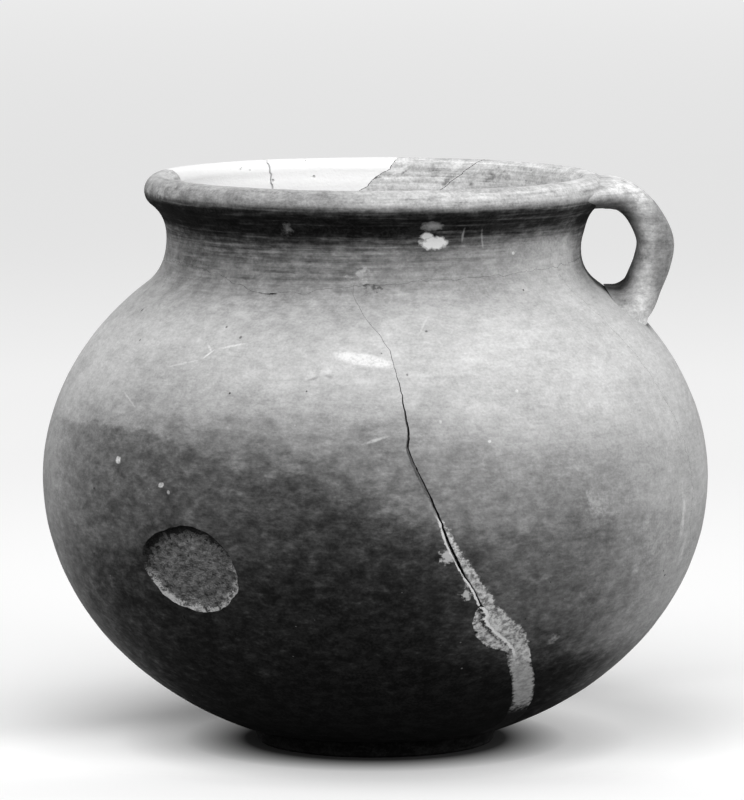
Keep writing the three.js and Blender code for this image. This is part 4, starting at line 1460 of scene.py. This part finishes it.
def soot_smudged(place, colour, colours):
    """Soot and clay smeared over the crack's fill: thin over its middle and thick along its ragged sides."""
    crack, height = beside_crack(place), place["Height"]
    torn = crack["Torn"]
    west, east = (
        drawn(height, sorted((row[1], row[side]) for row in FRONT_CRACK), "VECTOR") for side in (2, 3))
    east += between(height, 36, 42, 0, 6)
    inside = maths("MINIMUM", crack["East"] + west, east - crack["East"]) + torn * 5.0
    clean = between(inside, -0.3, 1.2) * between(height + torn * 9.0, 15.5, 20)
    ridge = crack["East"] + drawn(height, FILL_RIDGE) + torn * 3.0
    hollow = between(maths("ABSOLUTE", ridge + 1.5), 0.4, 1.3, 0.9, 0.0) * between(height, 37, 41)
    hollow *= between(torn, -0.05, 0.12, 1.0, 0.2)
    ridge = between(maths("ABSOLUTE", ridge), 0.4, 0.9, 0.98, 0.0) * between(height, 34, 38)
    dull, bright = between(height, 30, 39, 0.4, 0.22), between(height, 30, 39, 0.62, 0.84)
    blotched = between(torn, -0.16, 0.16, dull, bright)
    return blended(larger(clean * (1.0 - hollow) * blotched, ridge), colours.soot, colour)


def fill_plaster(name, colours, dirt, smudged=False):
    """White mending plaster, pared flush, with knife marks, small holes and grey handling dirt."""
    material, shader = new_material(name, specular=0.2)
    place = placed(material.node_tree, "Place on the Pot")
    position = place["Position"]
    grain = placed(material.node_tree, "Grain", {"Position": position, "Size": 1.3, "Seed": 11.0})
    wheel = placed(material.node_tree, "Wheel Marks", {"Position": position, "Spacing": 2.2})
    holes = flecks(place, spacing=3.2, share=0.35, size=0.55)
    shade = grain["Cloud"] * 0.12 + grain["Tone"] * 0.1 + wheel["Turned"] * 0.1 + 0.86
    soiled = between(grain["Cloud"], 0.42, 0.7) * dirt
    colour = blended(soiled, scaled(colours.plaster, shade), colours.clay)
    colour = blended(holes * 0.45, colour, colours.broken_clay)
    if smudged:
        colour = soot_smudged(place, colour, colours)
    relief = grain["Relief"] * 0.22 + wheel["Relief"] * 0.1 + holes * -0.4
    finish(shader, colour, grain, roughness=(0.7, 0.92), relief=relief)


def make_finishes(pot, colours):
    """Makes the shared shader groups once, and the materials that use them."""
    make_place_group(pot)
    make_wheel_group()
    make_grain_group()
    make_fleck_group()
    make_mark_group()
    make_soot_group()
    make_crack_group()
    fired_clay("Fired Clay", pot, colours)
    fired_clay("Front Left Clay", pot, colours, sherd="west")
    fired_clay("Front Right Clay", pot, colours, sherd="east")
    fired_clay("Rim Clay", pot, colours, sherd="rim")
    fired_clay("Sooted Clay", pot, colours, soot=1.25, seed=3.0)
    fired_clay("Handle Clay", pot, colours, seed=8.0, handle=True)
    broken_clay("Broken Clay", colours)
    flaked_clay("Flaked Clay", pot, colours)
    fill_plaster("Rim Plaster", colours, dirt=0.12)
    fill_plaster("Crack Plaster", colours, dirt=0.3, smudged=True)


# The floor's paper by distance from the pot's axis, in metres: how light it is, darkened round the foot as a
# painted shadow, how brightly the far paper is lit from behind, and the painted light of a low glow round
# the foot.
PAPER_TONE_AND_SHADOW = [
    (0, 0.05), (0.037, 0.08), (0.043, 0.2), (0.047, 0.36), (0.052, 0.66), (0.06, 0.85), (0.12, 0.94),
    (0.3, 0.96), (0.8, 0.97), (1.2, 0.9), (3, 0.8), (5, 0.78)]
PAPER_LIT = [
    (0, 0), (0.5, 0), (0.8, 0.05), (1.15, 0.15), (1.6, 0.2), (2.1, 0.26), (2.9, 0.33), (4.1, 0.4), (5, 0.44)]
PAPER_PAINTED_LIGHT = [
    (0, 0), (0.046, 0), (0.05, 0.03), (0.058, 0.17), (0.066, 0.27), (0.074, 0.27), (0.084, 0.2), (0.12, 0.1),
    (0.2, 0.04), (0.3, 0), (5, 0)]
PAPER_BOUNCE = 0.3


def floor_paper(colours):
    """Pale paper that rises into a lit backdrop: the camera sees it bright, and its bounce stays plain."""
    material, shader = new_material("Floor Paper", specular=0.0)
    shader.inputs["Roughness"].default_value = 0.9
    shader.inputs["Emission Strength"].default_value = 1.0
    place = Flow(node(material.node_tree, "TexCoord").outputs["Object"])
    away = length_of(place)
    side, depth, _ = parted(place)
    # The paper darkens towards the pot's foot as a painted shadow.
    paper = drawn(away, PAPER_TONE_AND_SHADOW) * between(depth, -0.1, -0.045, 0.9, 1.0)
    # Painted light: a glow the camera sees round the pot's foot, faint in front of it and none behind it on
    # the left.
    painted_light = drawn(away, PAPER_PAINTED_LIGHT) * between(depth, -0.08, -0.04, 0.2, 1.0)
    painted_light *= between(depth - side * 0.5, 0.03, 0.08, 1.0, 0.0)
    seen = Flow(node(material.node_tree, "LightPath").outputs["Is Camera Ray"])
    shade = PAPER_BOUNCE + seen * (paper - PAPER_BOUNCE)
    plug(scaled(colours.floor, shade), shader.inputs["Base Color"])
    plug(scaled(colours.floor, (drawn(away, PAPER_LIT) + painted_light) * seen), shader.inputs["Emission Color"])
    return material


# Finishes that stay where a break or the flake has bared the clay.
BARE_CLAY = ("Broken Clay", "Flaked Clay")
SMOOTH_ANGLE = 38


def dress(piece, solid, skin, all_over=False):
    """Gives a finished piece its skin, and lets it stand for its CAD node on the one body."""
    pick(piece)
    bpy.ops.object.shade_smooth_by_angle(angle=math.radians(SMOOTH_ANGLE))
    made_of = piece.data.materials
    if all_over:
        for face in piece.data.polygons:
            face.material_index = 0
        made_of.clear()
        made_of.append(bpy.data.materials[skin])
    for i, material in enumerate(made_of):
        if material.name not in BARE_CLAY:
            made_of[i] = bpy.data.materials[skin]
    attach(piece, "root")
    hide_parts(solid)


# The pieces, and how they come out of the thrown body. Where the middle of each one lies, in degrees.
WALL_SHERDS = {
    "wall_sherd_front_left": -138, "wall_sherd_front_right": -50, "wall_sherd_right": 25,
    "wall_sherd_back": 120,
}
RIM_PIECES = {"rim_sherd_front": -62, "rim_sherd_back": 80, "rim_fill_back": 107, "rim_fill_left": 143}
RIM_BLADE_LOW = 130.0
# How many times wider the rim's breaks stand open than the wall's, and how ragged the plaster's end is.
RIM_BREAK_OPEN = 4
RIM_FILL_RAGGEDNESS = 2.0
SKINS = {
    "wall_sherd_front_left": "Front Left Clay", "wall_sherd_front_right": "Front Right Clay",
    "rim_sherd_front": "Rim Clay", "rim_sherd_back": "Rim Clay",
    "rim_fill_back": "Rim Plaster", "rim_fill_left": "Rim Plaster",
}


def part_body(body, pot):
    """Breaks the thrown body round its neck and round its foot, into the wall, the rim and the foot."""
    neck, base = neck_ring(pot), base_ring(pot)
    carve(body, neck)
    carve(body, base)
    remove(neck, base)
    parts = sorted(loose_parts(body), key=lambda part: len(part.data.polygons), reverse=True)
    wall, rim, foot = parts[:3]
    if rim.bound_box[0][2] < foot.bound_box[0][2]:
        rim, foot = foot, rim
    remove(*parts[3:])
    return wall, rim, foot


def fill_crack(wall, line):
    """The plaster in the open foot of the front crack, in the shape of the wall that is lost there."""
    fill = copy_of(wall, "crack_fill_plaster")
    blade = break_blade("fill_blade", line, FRONT_CRACK, 0, CRACK_RAGGEDNESS, high=FILL_TOP)
    carve(fill, blade, "INTERSECT")
    remove(blade)
    dress(fill, "crack_fill", "Crack Plaster", all_over=True)


def break_wall(wall, line, pot):
    """Breaks the wall down its four breaks, and takes the flake out of the front left sherd."""
    for name, stations in (
            ("front", FRONT_CRACK), ("right", RIGHT_BREAK), ("back", BACK_BREAK), ("left", LEFT_BREAK)):
        raggedness = CRACK_RAGGEDNESS if name == "front" else 1.0
        cut_along(wall, name, line, stations, pot.break_gap, raggedness)
    sherds = name_by_angle(loose_parts(wall), {name + "_clay": a for name, a in WALL_SHERDS.items()})
    flake = spall_cutter(pot)
    flake.data.materials.append(bpy.data.materials["Flaked Clay"])
    carve(sherds["wall_sherd_front_left_clay"], flake)
    remove(flake)
    for name in WALL_SHERDS:
        dress(sherds[name + "_clay"], name, SKINS.get(name, "Fired Clay"))


def break_rim(rim, line, pot):
    """Breaks the rim up into its two sherds and the two fills of plaster between them."""
    for name, stations in (
            ("rim", RIM_BREAK), ("fill", FILL_BREAK), ("seam", FILL_SEAM), ("end", FILL_END)):
        gap = pot.seam_gap if name == "seam" else RIM_BREAK_OPEN * pot.break_gap
        raggedness = RIM_FILL_RAGGEDNESS if name == "fill" else 1.0
        cut_along(rim, name, line, stations, gap, raggedness, RIM_BLADE_LOW)
    made_of = {name: "plaster" if "fill" in name else "clay" for name in RIM_PIECES}
    pieces = name_by_angle(loose_parts(rim), {f"{name}_{made_of[name]}": a for name, a in RIM_PIECES.items()})
    for name, finish_name in made_of.items():
        piece = pieces[f"{name}_{finish_name}"]
        dress(piece, name, SKINS[name], all_over=finish_name == "plaster")


# Operators.

class POT_OT_finishes(Operator):
    """Mix the clay, soot and plaster finishes"""
    bl_idname = "pot.finishes"
    bl_label = "Finishes"

    def execute(self, context):
        make_finishes(context.scene.pot_sizes, context.scene.pot_colours)
        return {"FINISHED"}


class POT_OT_body(Operator):
    """Throw the body, break it and fill what is lost"""
    bl_idname = "pot.body"
    bl_label = "Body"

    def execute(self, context):
        pot = context.scene.pot_sizes
        line = outside_line(pot, pot.fineness)
        body = throw_body(pot)
        body.data.materials.append(bpy.data.materials["Fired Clay"])
        wall, rim, foot = part_body(body, pot)
        dress(named(foot, "foot_sherd_clay"), "foot_sherd", "Sooted Clay")
        fill_crack(wall, line)
        break_wall(wall, line, pot)
        break_rim(rim, line, pot)
        return {"FINISHED"}


# How far the strap is let into the lip and the shoulder, in millimetres.
STRAP_SINK = 0.8


class POT_OT_handle(Operator):
    """Pull the strap handle and trim it to the lip and the shoulder"""
    bl_idname = "pot.handle"
    bl_label = "Handle"

    def execute(self, context):
        pot = context.scene.pot_sizes
        line = outside_line(pot, pot.fineness)
        handle = strap(pot, line)
        core = stopper(pot, line, STRAP_SINK * MM)
        carve(handle, core)
        remove(core)
        dress(named(handle, "handle_clay"), "handle", "Handle Clay", all_over=True)
        return {"FINISHED"}


# Lamps: (name, place in metres, size in metres, power in watts). They point at the pot's middle.
LAMPS = [
    ("Overhead", (-0.25, -0.8, 1.6), 1.5, 21.0), ("Left Front", (-1.1, -1.7, 1.0), 1.0, 7.5),
    ("Right Front", (1.35, -1.5, 1.1), 1.0, 12.0), ("Right Low", (1.3, -0.25, 0.4), 1.0, 4.0),
]
POT_MIDDLE = (0, 0, 0.09)
STUDIO_LIGHT = 0.5
# The floor's size and how far the camera sees, in metres, and its lens, in millimetres.
FLOOR_SIZE = 16
SIGHT = 60
FOCAL_LENGTH = 268.8
SENSOR_WIDTH = 36
CAMERA_PLACE = (-0.001, -1.78, 0.31)
CAMERA_TARGET = (-0.001, 0, 0.1026)


def aim(thing, place, target):
    """Sets a lamp or the camera at a place and turns it to a target."""
    thing.location = place
    thing.rotation_euler = (Vector(target) - Vector(place)).to_track_quat("-Z", "Y").to_euler()


class POT_OT_stage(Operator):
    """Set the pale floor, the soft studio light and the camera"""
    bl_idname = "pot.stage"
    bl_label = "Stage"

    def execute(self, context):
        deselect()
        bpy.ops.mesh.primitive_plane_add(size=FLOOR_SIZE)
        floor = named(context.object, "floor")
        floor.data.materials.append(floor_paper(context.scene.pot_colours))

        world = bpy.data.worlds.new("Studio")
        context.scene.world = world
        world.use_nodes = True
        back = world.node_tree.nodes["Background"]
        back.inputs["Color"].default_value = (1, 1, 1, 1)
        back.inputs["Strength"].default_value = STUDIO_LIGHT

        for name, place, size, power in LAMPS:
            lamp = bpy.data.lights.new(name, "AREA")
            lamp.size = size
            lamp.energy = power
            light = bpy.data.objects.new(name, lamp)
            context.collection.objects.link(light)
            aim(light, place, POT_MIDDLE)

        lens = bpy.data.cameras.new("Camera")
        lens.lens = FOCAL_LENGTH
        lens.sensor_width = SENSOR_WIDTH
        lens.clip_end = SIGHT
        camera = bpy.data.objects.new("Camera", lens)
        context.collection.objects.link(camera)
        aim(camera, CAMERA_PLACE, CAMERA_TARGET)
        context.scene.camera = camera
        context.scene.view_settings.view_transform = "Standard"
        return {"FINISHED"}


class POT_PT_panel(Panel):
    """Sizes and steps of the mended cooking pot"""
    bl_idname = "POT_PT_panel"
    bl_label = "Mended Cooking Pot"
    bl_space_type = "VIEW_3D"
    bl_region_type = "UI"
    bl_category = "Pot"

    def draw(self, context):
        layout = self.layout
        for step in STEPS:
            layout.operator(step.bl_idname)
        for name in PotSizes.__annotations__:
            layout.prop(context.scene.pot_sizes, name)
        for name in PotColours.__annotations__:
            layout.prop(context.scene.pot_colours, name)


STEPS = (POT_OT_finishes, POT_OT_body, POT_OT_handle, POT_OT_stage)
CLASSES = (PotSizes, PotColours, *STEPS, POT_PT_panel)


def register():
    for made in CLASSES:
        bpy.utils.register_class(made)
    bpy.types.Scene.pot_sizes = PointerProperty(type=PotSizes)
    bpy.types.Scene.pot_colours = PointerProperty(type=PotColours)


def unregister():
    del bpy.types.Scene.pot_colours
    del bpy.types.Scene.pot_sizes
    for made in reversed(CLASSES):
        bpy.utils.unregister_class(made)


def main():
    register()
    bpy.ops.pot.finishes()
    bpy.ops.pot.body()
    bpy.ops.pot.handle()
    bpy.ops.pot.stage()


if __name__ == "__main__":
    main()
